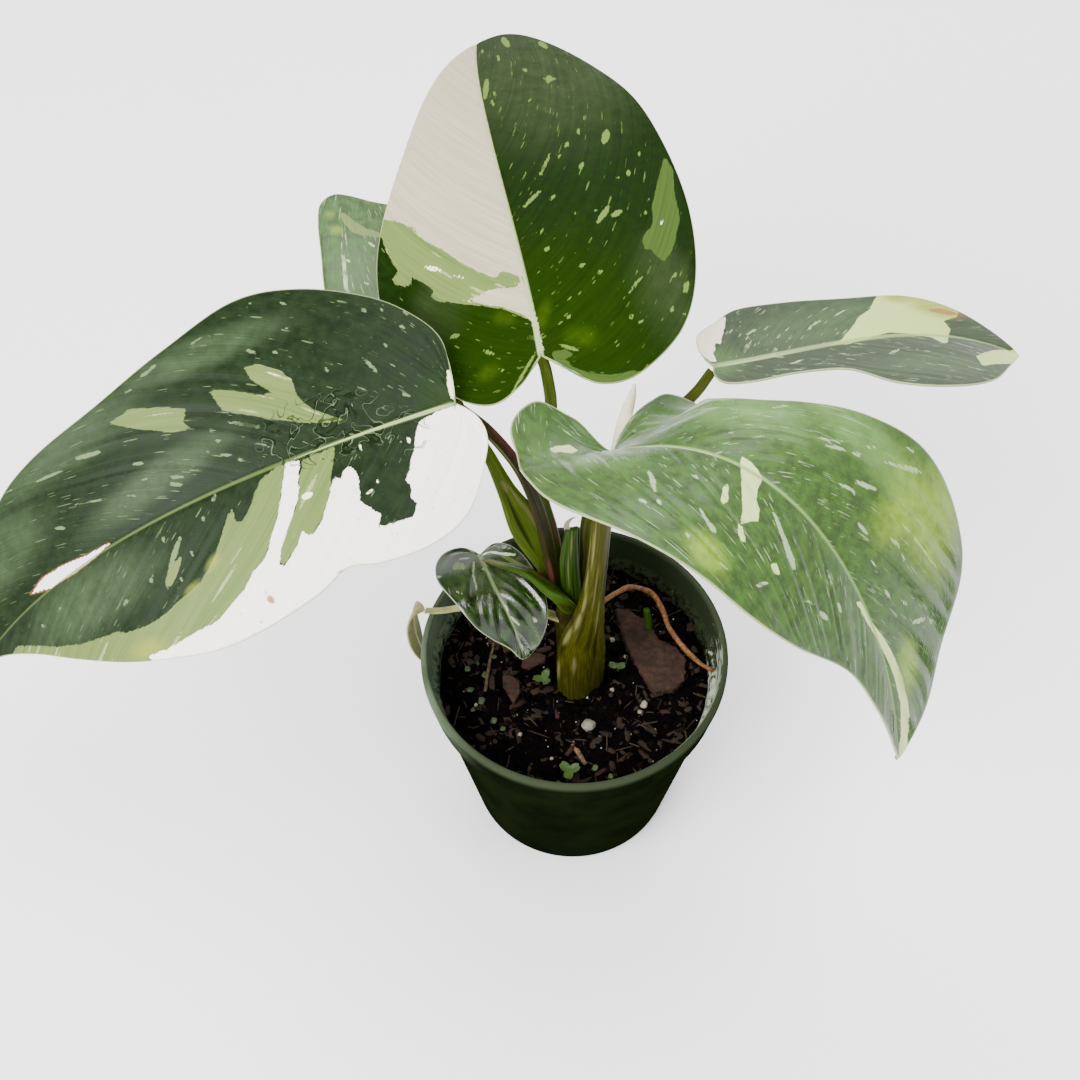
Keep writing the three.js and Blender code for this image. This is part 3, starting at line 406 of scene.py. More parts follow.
# A stalk is a run of stations: x, y, z, half its width and half its depth. face is the side that its
# channel looks to. lips are how far the sheath's edges stand out, at the foot, the middle and the top.
STALKS = {
    "stem": {
        "face": [0, 1, 0], "round": True,
        "stations": [
            [0, 1, 56, 5, 5], [-0.5, 1, 92, 5.4, 5.2], [-1, 1, 105, 5.4, 5], [-1.4, 1.4, 114, 4, 4],
        ],
    },
    "petiole_right": {
        "face": [-0.4, 0.9, 0.2],
        "stations": [
            [2, -4, 60, 7.6, 6], [2, -4.5, 88, 8.2, 6.4], [2.2, -4.5, 101, 7.4, 5.8],
            [4, -4.5, 114, 5.2, 4.4], [5.2, -4.5, 127, 3.8, 3.5], [6.2, -4.6, 145, 3.2, 3],
            [7.2, -5.2, 172, 2.8, 2.6], [8.6, -5.9, 194.4, 2, 2],
        ],
    },
    "cataphyll": {
        "face": [-0.3, 0.9, 0.3],
        "stations": [
            [-0.6, 1.2, 106, 2.4, 2.4], [-1.2, 2, 119, 3, 2.4], [-2, 3, 134, 2.9, 2.2],
            [-1.4, 4.8, 148, 2.1, 1],
        ],
    },
    "petiole_back_right": {
        "face": [-0.5, -0.3, 0.8],
        "stations": [
            [1.6, 3, 108, 2.4, 2.2], [3.1, 8, 127, 2.4, 2.2], [3.6, 11, 144, 2.2, 2], [8.9, 17, 156, 2, 1.9],
            [19, 24, 166, 1.9, 1.8], [34, 32.5, 174.5, 1.8, 1.7], [40.4, 37.4, 181, 1.6, 1.6],
        ],
    },
    "petiole_small": {
        "face": [0.2, 0.2, 1],
        "stations": [
            [-1, 1, 110, 3.4, 3], [-4.6, -0.6, 120, 3.6, 3.2], [-9, -1, 126, 2.8, 2.4],
            [-15, 1.6, 130, 1.8, 1.6], [-23.5, 8.5, 124.4, 1.3, 1.2], [-29.2, 15.4, 117.4, 1.1, 1],
        ],
    },
    "petiole_left": {
        "face": [0.5, -0.3, 0.8],
        "stations": [
            [-3, 1.4, 110, 1.8, 1.8], [-5, 2, 119, 1.9, 1.9], [-7.2, 3, 131, 2.2, 2],
            [-9.1, 4, 146, 2.4, 2.1], [-12.2, 6, 160.6, 2.1, 1.9], [-17, 8.4, 174, 1.9, 1.8],
            [-25, 11, 186.4, 1.8, 1.7], [-33, 12.8, 194.6, 1.6, 1.5],
        ],
    },
    "petiole_back_left": {
        "face": [0.4, -0.6, 0.6],
        "stations": [
            [-3.4, 3, 108, 1.8, 1.8], [-6.6, 4, 118, 2.2, 1.8], [-9.6, 6, 128, 3, 2],
            [-15.4, 9.6, 143, 5, 2.2], [-21, 13.6, 156, 2.7, 2], [-26.1, 18.6, 167, 1.7, 1.6],
            [-32, 27, 171.6, 1.6, 1.6], [-39, 41, 176, 1.5, 1.5], [-44.8, 53.2, 179, 1.4, 1.4],
        ],
    },
    "petiole_top": {
        "face": [0, -0.8, 0.5],
        "stations": [
            [-2, 4, 108, 2, 2], [-4.7, 7, 123, 2, 2], [-7.4, 10, 140.5, 2, 1.9],
            [-10.4, 13.4, 155.4, 2, 1.8], [-9, 17.4, 170.2, 1.9, 1.8], [-7.2, 21.4, 183.4, 1.8, 1.7],
            [-8.4, 25.8, 193.6, 1.7, 1.6], [-9.8, 27.8, 198.4, 1.6, 1.5],
        ],
    },
    "petiole_old": {
        "face": [0, 0, 1],
        "stations": [
            [-2, 0, 104, 1.7, 1.5], [-8, 0, 108, 1.6, 1.4], [-18, 3, 109, 1.5, 1.2],
            [-32, 8.4, 101, 1.4, 1.1], [-44, 12.8, 91.6, 1.3, 0.9], [-49.6, 14.4, 89.2, 1.2, 0.7],
        ],
    },
    "spear": {
        "face": [0, -1, 0], "round": True,
        "stations": [
            [2.4, 6, 109, 1.3, 1.3], [6.6, 11, 128, 1.6, 1.6], [10.7, 14.4, 159.4, 2, 2],
            [13.2, 17.2, 178.3, 2, 2], [15.2, 18.8, 190, 1.4, 1.4], [16.1, 19.4, 195.5, 0.5, 0.5],
        ],
    },
    "aerial_root": {
        "face": [0, 0, 1], "round": True,
        "stations": [
            [1, 2.4, 98, 0.9, 0.9], [6, 7.6, 98, 0.9, 0.9], [11, 13, 97, 0.9, 0.9], [15, 17, 95, 0.9, 0.9],
            [18, 20, 93, 0.9, 0.9], [22, 22, 90, 0.9, 0.9], [27, 21.6, 87, 0.9, 0.9], [30, 18, 84, 0.9, 0.9],
            [32, 13, 81, 0.9, 0.9], [34.4, 9, 79.4, 0.9, 0.9], [38.2, 4, 78.2, 0.9, 0.9],
            [42, 0, 77.2, 0.8, 0.8], [46.6, -3, 76.6, 0.7, 0.7],
        ],
    },
    "green_stub": {
        "face": [0, -1, 0], "round": True,
        "stations": [[26.4, 15, 66, 1.3, 1.3], [26, 16.4, 76, 1.3, 1.3], [25, 17.6, 83, 1.1, 1.1]],
    },
    "straw": {
        "face": [0, 0, 1], "round": True,
        "stations": [[-26, 17, 72.1, 0.6, 0.6], [-28.4, 5, 72.2, 0.6, 0.6], [-30, -7, 71.8, 0.6, 0.6]],
    },
    "twig": {
        "face": [0, 0, 1], "round": True,
        "stations": [[-1, -27.6, 72.2, 0.8, 0.6], [1, -31, 72, 0.9, 0.7], [3, -34.6, 71.3, 0.7, 0.6]],
    },
}

# The channel along a stalk's face, with angles in radians and the rest as shares of the stalk's depth.
CHANNEL = {"flatness": 0.7, "width": 0.62, "depth": 0.45, "lip_at": 0.95, "lip_width": 0.16}
RIDGES = 9

# Soft marks on the stalks: degrees round, millimetres along, and half the reach of each.
MARKS = {
    "petiole_right": {
        "shade": [
            [-125, 90, 12, 24], [-45, 58, 9, 22], [-80, 50, 9, 22], [-105, 40, 8, 20], [-10, 40, 8, 14],
        ],
        "pale": [
            [-30, 103, 9, 12], [5, 99, 10, 9], [-14, 88, 9, 10], [-25, 74, 10, 10], [-22, 60, 11, 10],
            [-8, 47, 13, 9], [-55, 28, 6, 12], [-3, 20, 12, 8], [-95, 66, 6, 22], [-65, 84, 5, 20],
        ],
        "fresh": [[-146, 27, 14, 6]],
        "scar": [[15, 57, 26, 5]],
    },
    "stem": {"scar": [[-60, 46, 70, 6]], "shade": [[-90, 52, 60, 8]]},
    "petiole_small": {
        "pink": [[40, 18, 24, 15], [60, 26, 20, 12]],
        "pale": [[120, 47, 120, 13]],
        "scar": [[-154, 7, 34, 6]],
    },
    "petiole_left": {
        "pink": [[150, 27, 36, 7], [70, 73, 34, 9], [-175, 22, 30, 6]],
        "pale": [[161, 72, 8, 12]],
        "shade": [[120, 50, 20, 20]],
    },
    "petiole_back_left": {
        "pale": [[62, 50, 13, 7], [55, 42, 13, 8], [95, 55, 28, 3], [52, 33, 10, 8]],
        "pink": [[45, 26, 18, 10], [44, 38, 7, 10]],
        "shade": [[110, 44, 12, 16]],
        "fresh": [[80, 36, 12, 18]],
    },
    "petiole_top": {
        "pink": [[44, 27, 42, 6]], "pale": [[-60, 70, 7, 22], [-100, 78, 6, 14]], "shade": [[-80, 66, 8, 24]],
    },
    "cataphyll": {
        "shade": [[-46, 28, 10, 17], [-122, 28, 9, 17], [-90, 18, 6, 12]],
        "pale": [[-85, 37, 7, 8], [5, 28, 14, 16], [-70, 26, 5, 12]],
        "pink": [[-15, 9, 30, 7]],
    },
    "petiole_back_right": {"pale": [[90, 26, 9, 10]], "pink": [[65, 18, 22, 6]], "shade": [[120, 22, 9, 14]]},
}

# The grey sheen is a reflection painted into the blades' colour.
# Where the grey sheen lies on each blade, as ovals: along, out, half length, half width and turn in degrees.
PAINTED_SHEEN_SPOTS = {
    "top": [[116, -22, 62, 46, 0], [14, -38, 24, 12, 0], [20, 26, 14, 10, 0]],
    "left": [
        [112, -34, 46, 13, 0], [60, -38, 34, 7, 0], [118, 10, 36, 14, 0], [84, -10, 34, 7, 8],
        [138, -18, 28, 14, 0],
    ],
    "right": [[24, 22, 44, 16, 0], [66, 32, 40, 10, 0], [4, -14, 26, 14, 0]],
    "back_right": [[40, 10, 45, 14, 0], [60, -20, 30, 10, 0]],
    "back_left": [[20, 14, 30, 12, 0]],
    "small": [[8, 0, 16, 12, 0], [2, -10, 9, 6, 0]],
}
# The colour of each kind of mark on the stalks.
MARK_COLORS = {
    "shade": "080c01", "pale": "68663e", "fresh": "3c4e15", "pink": "4e2525", "scar": "231309",
}

# The torn dry tip of the sheath, as stations.
WISP = [
    [-2.4, 4.4, 146.5, 1, 0.6], [-2.9, 4.6, 150, 0.8, 0.35], [-1.8, 4.8, 152.4, 0.55, 0.25],
    [-0.4, 5, 153.4, 0.2, 0.15],
]

# The outline of the big bark piece, seen from above, then the chips and the sprouts.
BARK = [
    [15, 24], [19, 23.5], [25, 19.4], [29, 11.5], [35, 8], [38, 3], [37, -5], [33, -9], [27, -10],
    [24.6, -6], [21, 1], [17, 12],
]
BARK_FOOT, BARK_THICKNESS = 71.8, 3.2
CHIP_CORNERS = 9
CHIPS = {
    "chip_back_left": {"at": [-21, 10, 74], "size": [9, 6, 1.6], "turn": 40},
    "chip_left": {"at": [-21, -7, 74], "size": [13, 6, 2.2], "turn": 105},
    "chip_front_left": {"at": [-14, 3.4, 74.2], "size": [10, 7, 1.8], "turn": 20},
}
SEEDLINGS = {
    "front": {"at": [-2.4, -39], "height": 5, "leaf": 2.1, "turns": [20, 140, 260]},
    "left": {"at": [-10.4, -5], "height": 4, "leaf": 1.8, "turns": [60, 190, 310]},
    "right": {"at": [14.6, 0.6], "height": 3.4, "leaf": 1.7, "turns": [0, 170]},
}

# The foot of the thickest stalk where it leaves the soil: x, y, half its width and half its depth.
FOOT = (2, -4.3, 7.9, 5.8)

# What lies loose on the soil, seen from above: x, y and size.
PERLITE = [
    [-1.2, -9, 2.6], [4.5, -9.5, 2], [23.3, -12.5, 2.8], [29, -8.7, 1.8], [4.4, -20.5, 4.2],
    [-4.8, -7.5, 1.6], [13.4, 12, 1.8], [17.6, 5.9, 1.6], [8, -25.4, 1.4], [-12.7, 12.4, 2],
    [12.6, -7.7, 1.6], [21.6, -16.3, 2.2], [-18.3, -24.3, 1.4], [26.3, -22.3, 1.2], [-33, -12, 1.4],
    [-8, -33, 1.2],
]
LEAFLETS = [
    [15.1, 2, 2.4], [-9.4, -0.4, 2.4], [-12.5, -2.3, 2.6], [-30, -1, 2.2], [-33, 3, 1.8], [-35, -6, 2],
    [-31, -11, 2.2], [-27, 6, 1.6], [-36, 1, 1.6], [-27, -18, 1.8], [-24, -21, 1.6], [30, 2, 1.6],
    [6, -36, 1.8], [-6, -41, 1.6], [11, -39, 1.4], [-34, -14, 1.5],
]
BITS = [
    [-21, -4.9, 6], [-23.4, 10.6, 5], [-14.8, 3.2, 5], [-2, -30, 4], [14.8, -19.2, 5], [7.6, -37.4, 4],
    [-19, -12, 6], [-27, 12, 6], [-10, 8, 5], [30, -16, 4], [10, 22, 5], [-6, -16, 4], [-30, 18, 4],
]

# The kinds of loose grain: how deep and how tilted they lie, and the size, flatness and length of one.
# count fall at random, and seen are where the photograph shows them. A pair is a range to draw from.
GRAINS = {
    "soil_crumbs": {"slot": "soil", "sink": 0.2, "tilt": 0.5, "size": (0.7, 2.4)},
    "soil_shreds": {
        "finish": "shred", "slot": "bark", "count": 260, "sink": 0.0, "tilt": 0.35,
        "size": (0.6, 2.6), "squash": 0.3, "long": (1.4, 4),
    },
    "soil_fibres": {
        "finish": "fibre", "slot": "straw", "count": 130, "sink": -0.3, "tilt": 0.25,
        "size": (0.25, 0.5), "squash": 0.9, "long": (10, 22),
    },
    "perlite_grains": {
        "finish": "perlite", "slot": "soil", "seen": PERLITE, "count": 60, "sizes": (0.3, 0.7),
        "sink": -0.2, "tilt": 0.5, "size": 1.0, "squash": 0.85,
    },
    "small_leaflets": {
        "finish": "leaflet", "slot": "seedling", "seen": LEAFLETS, "sink": -0.9, "tilt": 0.45,
        "size": 1.2, "squash": 0.2,
    },
    "wood_bits": {
        "finish": "red_bits", "slot": "bark", "seen": BITS, "sink": -0.4, "tilt": 0.3,
        "size": 0.4, "squash": 0.5, "long": 2.6,
    },
}


# Shapes

def grid_of(columns, rows):
    """A grid whose x runs from -1 to 1 and whose second number runs from 0 to 1."""
    bm = bmesh.new()
    bmesh.ops.create_grid(bm, x_segments=columns, y_segments=rows, size=1.0)
    bm.verts.ensure_lookup_table()
    flat = np.array([vert.co[:2] for vert in bm.verts])
    return bm, flat[:, 0], (flat[:, 1] + 1) / 2


def set_places(bm, places):
    """Moves every vertex to its place, given in millimetres."""
    for vert, place in zip(bm.verts, places):
        vert.co = Vector(place) * MM


def set_uv(bm, name, pairs):
    """Gives every corner of a face the UV pair of its vertex."""
    layer = bm.loops.layers.uv.new(name)
    for face in bm.faces:
        for loop in face.loops:
            loop[layer].uv = pairs[loop.vert.index]


def set_values(bm, name, values):
    """Gives every vertex a value that a material can read."""
    layer = bm.verts.layers.float.new(name)
    for vert, value in zip(bm.verts, values):
        vert[layer] = float(value)


def close_up(bm, reach=1e-6):
    """Merges doubled vertices and turns every face outward."""
    bmesh.ops.remove_doubles(bm, verts=bm.verts, dist=reach)
    bmesh.ops.recalc_face_normals(bm, faces=bm.faces)


def add_to(whole, part, place=None):
    """Adds a part to a whole, at its place, and frees the part."""
    mesh = bpy.data.meshes.new("part")
    part.to_mesh(mesh)
    part.free()
    if place is not None:
        mesh.transform(place)
    whole.from_mesh(mesh)
    bpy.data.meshes.remove(mesh)


def piece_of(bm, name, materials):
    """A smooth object in the scene, made from a mesh under work, which is freed."""
    mesh = bpy.data.meshes.new(name)
    bm.to_mesh(mesh)
    bm.free()
    for material in materials:
        mesh.materials.append(material)
    mesh.shade_smooth()
    piece = bpy.data.objects.new(name, mesh)
    bpy.context.scene.collection.objects.link(piece)
    return piece


def bake(piece):
    """Turns a piece's modifiers into its mesh."""
    graph = bpy.context.evaluated_depsgraph_get()
    piece.data = bpy.data.meshes.new_from_object(piece.evaluated_get(graph))
    piece.modifiers.clear()


def hand_over(piece, slot, *nodes):
    """Names a piece's body and the CAD nodes in whose place it stands. Its slot is not used."""
    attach(piece, BODY)
    if nodes:
        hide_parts(*nodes)


def remove(piece):
    """Deletes a piece and its mesh."""
    mesh = piece.data
    bpy.data.objects.remove(piece)
    bpy.data.meshes.remove(mesh)


def parabola(three, x):
    """The value at x, from 0 to 1, of the parabola through a start, a middle and an end."""
    start, middle, end = three
    return start * (1 - x) * (1 - 2 * x) + middle * 4 * x * (1 - x) + end * x * (2 * x - 1)


def spline(points, s, reflected=False):
    """Points on the even curve through the given ones, for s from 0 to 1."""
    p = np.array(points, float)
    ends = (2 * p[0] - p[1], 2 * p[-1] - p[-2]) if reflected else (p[0], p[-1])
    p = np.vstack([ends[0], p, ends[1]])
    spans = len(points) - 1
    at = np.clip(np.asarray(s, float), 0, 1) * spans
    first = np.minimum(at.astype(int), spans - 1)
    t = (at - first)[:, None]
    a, b, c, d = (p[first + k] for k in range(4))
    return b + 0.5 * t * (c - a + t * (2 * a - 5 * b + 4 * c - d + t * (3 * (b - c) + d - a)))


def unit(vectors):
    """Vectors brought to a length of one."""
    return vectors / np.maximum(np.linalg.norm(vectors, axis=-1, keepdims=True), TINY)


def carrier_of(blade):
    """The blade's length, and the function that lays flat points in space, with the upward direction."""
    p = np.array(blade["midrib"], float)
    steps = 400
    times = np.linspace(0, 1, steps + 1)

    def on_curve(t):
        u = 1 - t
        return u ** 3 * p[0] + 3 * u * u * t * p[1] + 3 * u * t * t * p[2] + t ** 3 * p[3]

    def ahead_on(t):
        u = 1 - t
        return unit(u * u * (p[1] - p[0]) + 2 * u * t * (p[2] - p[1]) + t * t * (p[3] - p[2]))

    spots = on_curve(times[:, None])
    lengths = np.concatenate([[0], np.cumsum(np.linalg.norm(np.diff(spots, axis=0), axis=1))])
    length = lengths[-1]
    level = unit(np.array([*blade["side"], 0.0]))

    def place(along, out, lift=0):
        x = np.clip(along / length, 0, 1)
        t = np.interp(x * length, lengths, times)[:, None]
        ahead = ahead_on(t)
        beside = unit(level - (ahead @ level)[:, None] * ahead)
        above = np.cross(ahead, beside)
        roll = np.radians(parabola(blade["roll"], x))[:, None]
        outward = beside * np.cos(roll) + above * np.sin(roll)
        upward = above * np.cos(roll) - beside * np.sin(roll)
        fold, bend = (
            np.where(out >= 0, parabola(blade[key]["left"], x), parabola(blade[key]["right"], x))
            for key in ("fold", "bend")
        )
        angle = np.radians(fold) + bend / 1000 * np.abs(out) * 0.5
        rise = np.abs(out) * np.sin(angle) + blade["lobe_lift"] / 1000 * np.minimum(along, 0) ** 2 + lift
        return (
            on_curve(t)
            + ahead * (along - x * length)[:, None]
            + outward * (out * np.cos(angle))[:, None]
            + upward * rise[:, None]
        )

    return length, place


def inside_distance(outline, along, out):
    """How far each flat point is inside an outline. Outside it is negative."""
    points = np.array(outline, float)
    nearest = np.full(along.shape, FAR)
    within = np.zeros(along.shape, bool)
    for (x0, y0), (x1, y1) in zip(points, np.roll(points, -1, axis=0)):
        dx, dy = x1 - x0, y1 - y0
        t = np.clip(((along - x0) * dx + (out - y0) * dy) / (dx * dx + dy * dy + TINY), 0, 1)
        nearest = np.minimum(nearest, np.hypot(along - x0 - t * dx, out - y0 - t * dy))
        if dy:
            within ^= ((y0 > out) != (y1 > out)) & (along < x0 + (out - y0) * dx / dy)
    return np.where(within, nearest, -nearest)


def fleck_distance(flecks, along, out):
    """How far each flat point is inside slim flecks with tapered ends."""
    found = np.full(along.shape, -30.0)
    for x0, y0, x1, y1, half in flecks:
        dx, dy = x1 - x0, y1 - y0
        t = np.clip(((along - x0) * dx + (out - y0) * dy) / (dx * dx + dy * dy + TINY), 0, 1)
        gap = np.hypot(along - x0 - t * dx, out - y0 - t * dy)
        reach = half * (0.42 + 0.42 * np.sin(math.pi * t)) + 0.1
        found = np.maximum(found, reach - gap)
    return found


def mark_amount(spots, turn, at):
    """How deep each point of a stalk is inside soft oval marks: 1 in the middle, 0 on the border."""
    found = np.zeros(turn.shape)
    for round_it, mid, half_turn, half_reach in spots:
        off = (np.degrees(turn) - round_it + 180) % 360 - 180
        found = np.maximum(found, 1 - np.hypot(off / half_turn, (at - mid) / half_reach))
    return found


def spot_depth(spots, along, out):
    """How deep each flat point is inside soft oval spots: 1 in the middle, 0 on the border."""
    found = np.full(along.shape, -1.0)
    for x, y, half_length, half_width, turn in spots:
        c, s = math.cos(math.radians(turn)), math.sin(math.radians(turn))
        a = ((along - x) * c + (out - y) * s) / half_length
        b = ((out - y) * c - (along - x) * s) / half_width
        found = np.maximum(found, 1 - np.hypot(a, b))
    return found


def sweep(stalk, sides, steps, lips=(0, 0, 0), ridges=0.0, shape=None):
    """A closed sweep through a stalk's stations. UV runs round it and along it in millimetres."""
    stations = np.array(stalk["stations"], float)
    bm, around, s = grid_of(sides, steps)
    middle = spline(stations[:, :3], s, reflected=True)
    near = 1e-3
    ahead = unit(
        spline(stations[:, :3], s + near, reflected=True) - spline(stations[:, :3], s - near, reflected=True)
    )
    half = spline(stations[:, 3:], s)
    across = unit(np.cross(ahead, unit(np.array(stalk["face"], float))))
    inward = np.cross(across, ahead)
    turn = around * math.pi
    width, depth = half[:, 0], half[:, 1]
    facing = np.exp(-((turn - math.pi / 2) / CHANNEL["width"]) ** 2)
    flatter = np.where(np.sin(turn) > 0, CHANNEL["flatness"], 1.0)
    if stalk.get("round"):
        flatter, facing = np.ones_like(turn), np.zeros_like(turn)
    lip = parabola(lips, s)
    edge = sum(
        np.exp(-((turn - math.pi / 2 - side * CHANNEL["lip_at"]) / CHANNEL["lip_width"]) ** 2)
        for side in (-1, 1)
    )
    swell = 1 + ridges * np.cos(RIDGES * turn + 3 * s) + lip * edge
    if shape is not None:
        swell = swell * shape(turn, s)
    dish = 1 - CHANNEL["depth"] * facing
    places = (
        middle
        + across * (width * np.cos(turn) * swell)[:, None]
        + inward * (depth * flatter * np.sin(turn) * swell * dish)[:, None]
    )
    set_places(bm, places)
    path = spline(stations[:, :3], np.linspace(0, 1, 60), True)
    at = s * float(np.linalg.norm(np.diff(path, axis=0), axis=1).sum())
    set_uv(bm, "stalk", list(zip((around + 1) / 2, at / UV_SPAN)))
    return bm, turn, at


def cap_ends(bm):
    """Closes a tube at both ends."""
    bmesh.ops.remove_doubles(bm, verts=bm.verts, dist=1e-7)
    rims = [edge for edge in bm.edges if edge.is_boundary]
    bmesh.ops.holes_fill(bm, edges=rims, sides=0)
    bmesh.ops.recalc_face_normals(bm, faces=bm.faces)


# Materials

class Wiring:
    """Adds nodes to a node tree and links them."""

    def __init__(self, tree):
        self.tree = tree

    def feed(self, socket, value):
        """Links an output to a socket, or sets a number, a vector or a colour given as on a screen."""
        if isinstance(value, bpy.types.NodeSocket):
            self.tree.links.new(value, socket)
        elif isinstance(value, str):
            socket.default_value = color(value)
        elif value is not None:
            socket.default_value = value

    def add(self, kind, inputs=None, **settings):
        node = self.tree.nodes.new(kind)
        for key, value in settings.items():
            setattr(node, key, value)
        for key, value in (inputs or {}).items():
            self.feed(node.inputs[key], value)
        return node

    def math(self, operation, a, b=0.0, c=0.0):
        return self.add("ShaderNodeMath", {0: a, 1: b, 2: c}, operation=operation).outputs[0]

    def plus(self, a, b):
        return self.math("ADD", a, b)

    def minus(self, a, b):
        return self.math("SUBTRACT", a, b)

    def times(self, a, b):
        return self.math("MULTIPLY", a, b)

    def vector(self, operation, a, b=(0.0, 0.0, 0.0)):
        return self.add("ShaderNodeVectorMath", {0: a, 1: b}, operation=operation).outputs[0]

    def mix(self, share, a, b, blend="MIX"):
        node = self.add("ShaderNodeMix", {0: share, 6: a, 7: b}, data_type="RGBA", blend_type=blend)
        return node.outputs[2]

    def dim(self, surface, share):
        """The surface times a grey."""
        grey = self.add("ShaderNodeCombineXYZ", {0: share, 1: share, 2: share}).outputs[0]
        return self.mix(1.0, surface, grey, "MULTIPLY")

    def span(self, value, low, high, to_low=0.0, to_high=1.0, smooth=True):
        return self.add(
            "ShaderNodeMapRange",
            {0: value, 1: low, 2: high, 3: to_low, 4: to_high},
            interpolation_type="SMOOTHSTEP" if smooth else "LINEAR",
        ).outputs[0]

    def attribute(self, name):
        return self.add("ShaderNodeAttribute", attribute_name=name).outputs["Fac"]

    def uv(self, name):
        return self.add("ShaderNodeUVMap", uv_map=name).outputs[0]

    def place(self):
        return self.add("ShaderNodeTexCoord").outputs["Object"]

    def noise(self, vector, scale, detail=2.0, roughness=0.5, distortion=0.0):
        sizes = {"Scale": scale, "Detail": detail, "Roughness": roughness, "Distortion": distortion}
        return self.add("ShaderNodeTexNoise", {"Vector": vector, **sizes}).outputs["Fac"]

    def streaks(self, vector, stretch, detail=2.0, roughness=0.5):
        """Noise whose scale differs from axis to axis."""
        stretched = self.add("ShaderNodeMapping", {"Vector": vector, "Scale": stretch}).outputs[0]
        return self.noise(stretched, 1.0, detail, roughness)

    def group(self, tree, **inputs):
        return self.add("ShaderNodeGroup", inputs, node_tree=tree).outputs


def color(hex_value):
    """A colour given as on a screen, in Blender's linear numbers."""
    parts = [int(hex_value[i:i + 2], 16) / 255 for i in (0, 2, 4)]
    return tuple(p / 12.92 if p <= 0.04045 else ((p + 0.055) / 1.055) ** 2.4 for p in parts) + (1.0,)


def group_of(name, inputs, outputs):
    """A new node group with float, vector or color sockets, and its wiring, inputs and outputs."""
    kinds = {"float": "NodeSocketFloat", "vector": "NodeSocketVector", "color": "NodeSocketColor"}
    tree = bpy.data.node_groups.new(name, "ShaderNodeTree")
    for socket, (kind, default) in inputs.items():
        made = tree.interface.new_socket(socket, in_out="INPUT", socket_type=kinds[kind])
        if default is not None:
            made.default_value = default
    for socket, kind in outputs.items():
        tree.interface.new_socket(socket, in_out="OUTPUT", socket_type=kinds[kind])
    wiring = Wiring(tree)
    return tree, wiring, wiring.add("NodeGroupInput").outputs, wiring.add("NodeGroupOutput").inputs


def speckle_group():
    """Oval flecks drawn out along the veins, of many sizes and with ragged edges."""
    name = "Vein flecks"
    if name in bpy.data.node_groups:
        return bpy.data.node_groups[name]
    tree, w, given, made = group_of(
        name,
        {
            "Vector": ("vector", None), "Across": ("float", 30.0), "Along": ("float", 10.0),
            "Size": ("float", 0.3), "Rare": ("float", 2.0), "Ragged": ("float", 0.1),
        },
        {"Mask": "float", "Tone": "float"},
    )
    parts = w.add("ShaderNodeSeparateXYZ", {0: given["Vector"]}).outputs
    wobble = w.add("ShaderNodeTexNoise", {"Vector": given["Vector"], "Scale": 160.0, "Detail": 2.0}).outputs
    off = w.vector("SUBTRACT", wobble["Color"], (0.5, 0.5, 0.5))
    off_parts = w.add("ShaderNodeSeparateXYZ", {0: off}).outputs
    x = w.math("MULTIPLY_ADD", off_parts[0], given["Ragged"], w.times(parts[0], given["Across"]))
    y = w.math("MULTIPLY_ADD", off_parts[1], given["Ragged"], w.times(parts[1], given["Along"]))
    at = w.add("ShaderNodeCombineXYZ", {0: x, 1: y}).outputs[0]
    cells = w.add("ShaderNodeTexVoronoi", {"Vector": at, "Scale": 1.0}, voronoi_dimensions="2D").outputs
    drawn = w.add("ShaderNodeSeparateColor", {0: cells["Color"]}).outputs
    radius = w.times(w.math("POWER", drawn[0], given["Rare"]), given["Size"])
    gap = w.minus(radius, cells["Distance"])
    w.feed(made["Mask"], w.span(gap, 0.0, 0.05))
    w.feed(made["Tone"], drawn[1])
    return tree


def edge_group():
    """The mask inside an outline, whose border breaks into steps and fingers along the veins."""
    name = "Ragged border"
    if name in bpy.data.node_groups:
        return bpy.data.node_groups[name]
    tree, w, given, made = group_of(
        name,
        {
            "Distance": ("float", 0.0), "Vector": ("vector", None),
            "Reach": ("float", 1.5), "Blur": ("float", 0.12),
        },
        {"Mask": "float"},
    )
    steps = w.streaks(given["Vector"], (70.0, 9.0, 1.0), 3.0, 0.65)
    teeth = w.streaks(given["Vector"], (260.0, 60.0, 1.0), 2.0, 0.6)
    shift = w.plus(w.minus(steps, 0.5), w.times(w.minus(teeth, 0.5), 0.5))
    moved = w.math("MULTIPLY_ADD", shift, given["Reach"], given["Distance"])
    low = w.times(given["Blur"], -1.0)
    w.feed(made["Mask"], w.span(moved, low, given["Blur"]))
    return tree


def grain_group():
    """Fine lines along the veins, coarser bands of veins and small pits, as one height."""
    name = "Leaf relief"
    if name in bpy.data.node_groups:
        return bpy.data.node_groups[name]
    tree, w, given, made = group_of(
        name,
        {
            "Vector": ("vector", None), "Place": ("vector", None),
            "Lines": ("float", 0.5), "Pits": ("float", 0.3),
        },
        {"Height": "float", "Streak": "float"},
    )
    fine = w.streaks(given["Vector"], (240.0, 5.0, 1.0), 2.0, 0.6)
    bands = w.streaks(given["Vector"], (42.0, 1.6, 1.0))
    pits = w.noise(given["Place"], 1500.0, 2.0, 0.6)
    height = w.times(w.plus(w.times(fine, 0.5), bands), given["Lines"])
    w.feed(made["Height"], w.math("MULTIPLY_ADD", pits, given["Pits"], height))
    w.feed(made["Streak"], w.plus(w.times(fine, 0.6), w.times(bands, 0.4)))
    return tree


def new_material(name):
    """A new material with its wiring and its shader."""
    material = bpy.data.materials.new(name)
    material.use_nodes = True
    wiring = Wiring(material.node_tree)
    shader = material.node_tree.nodes["Principled BSDF"]
    return material, wiring, shader


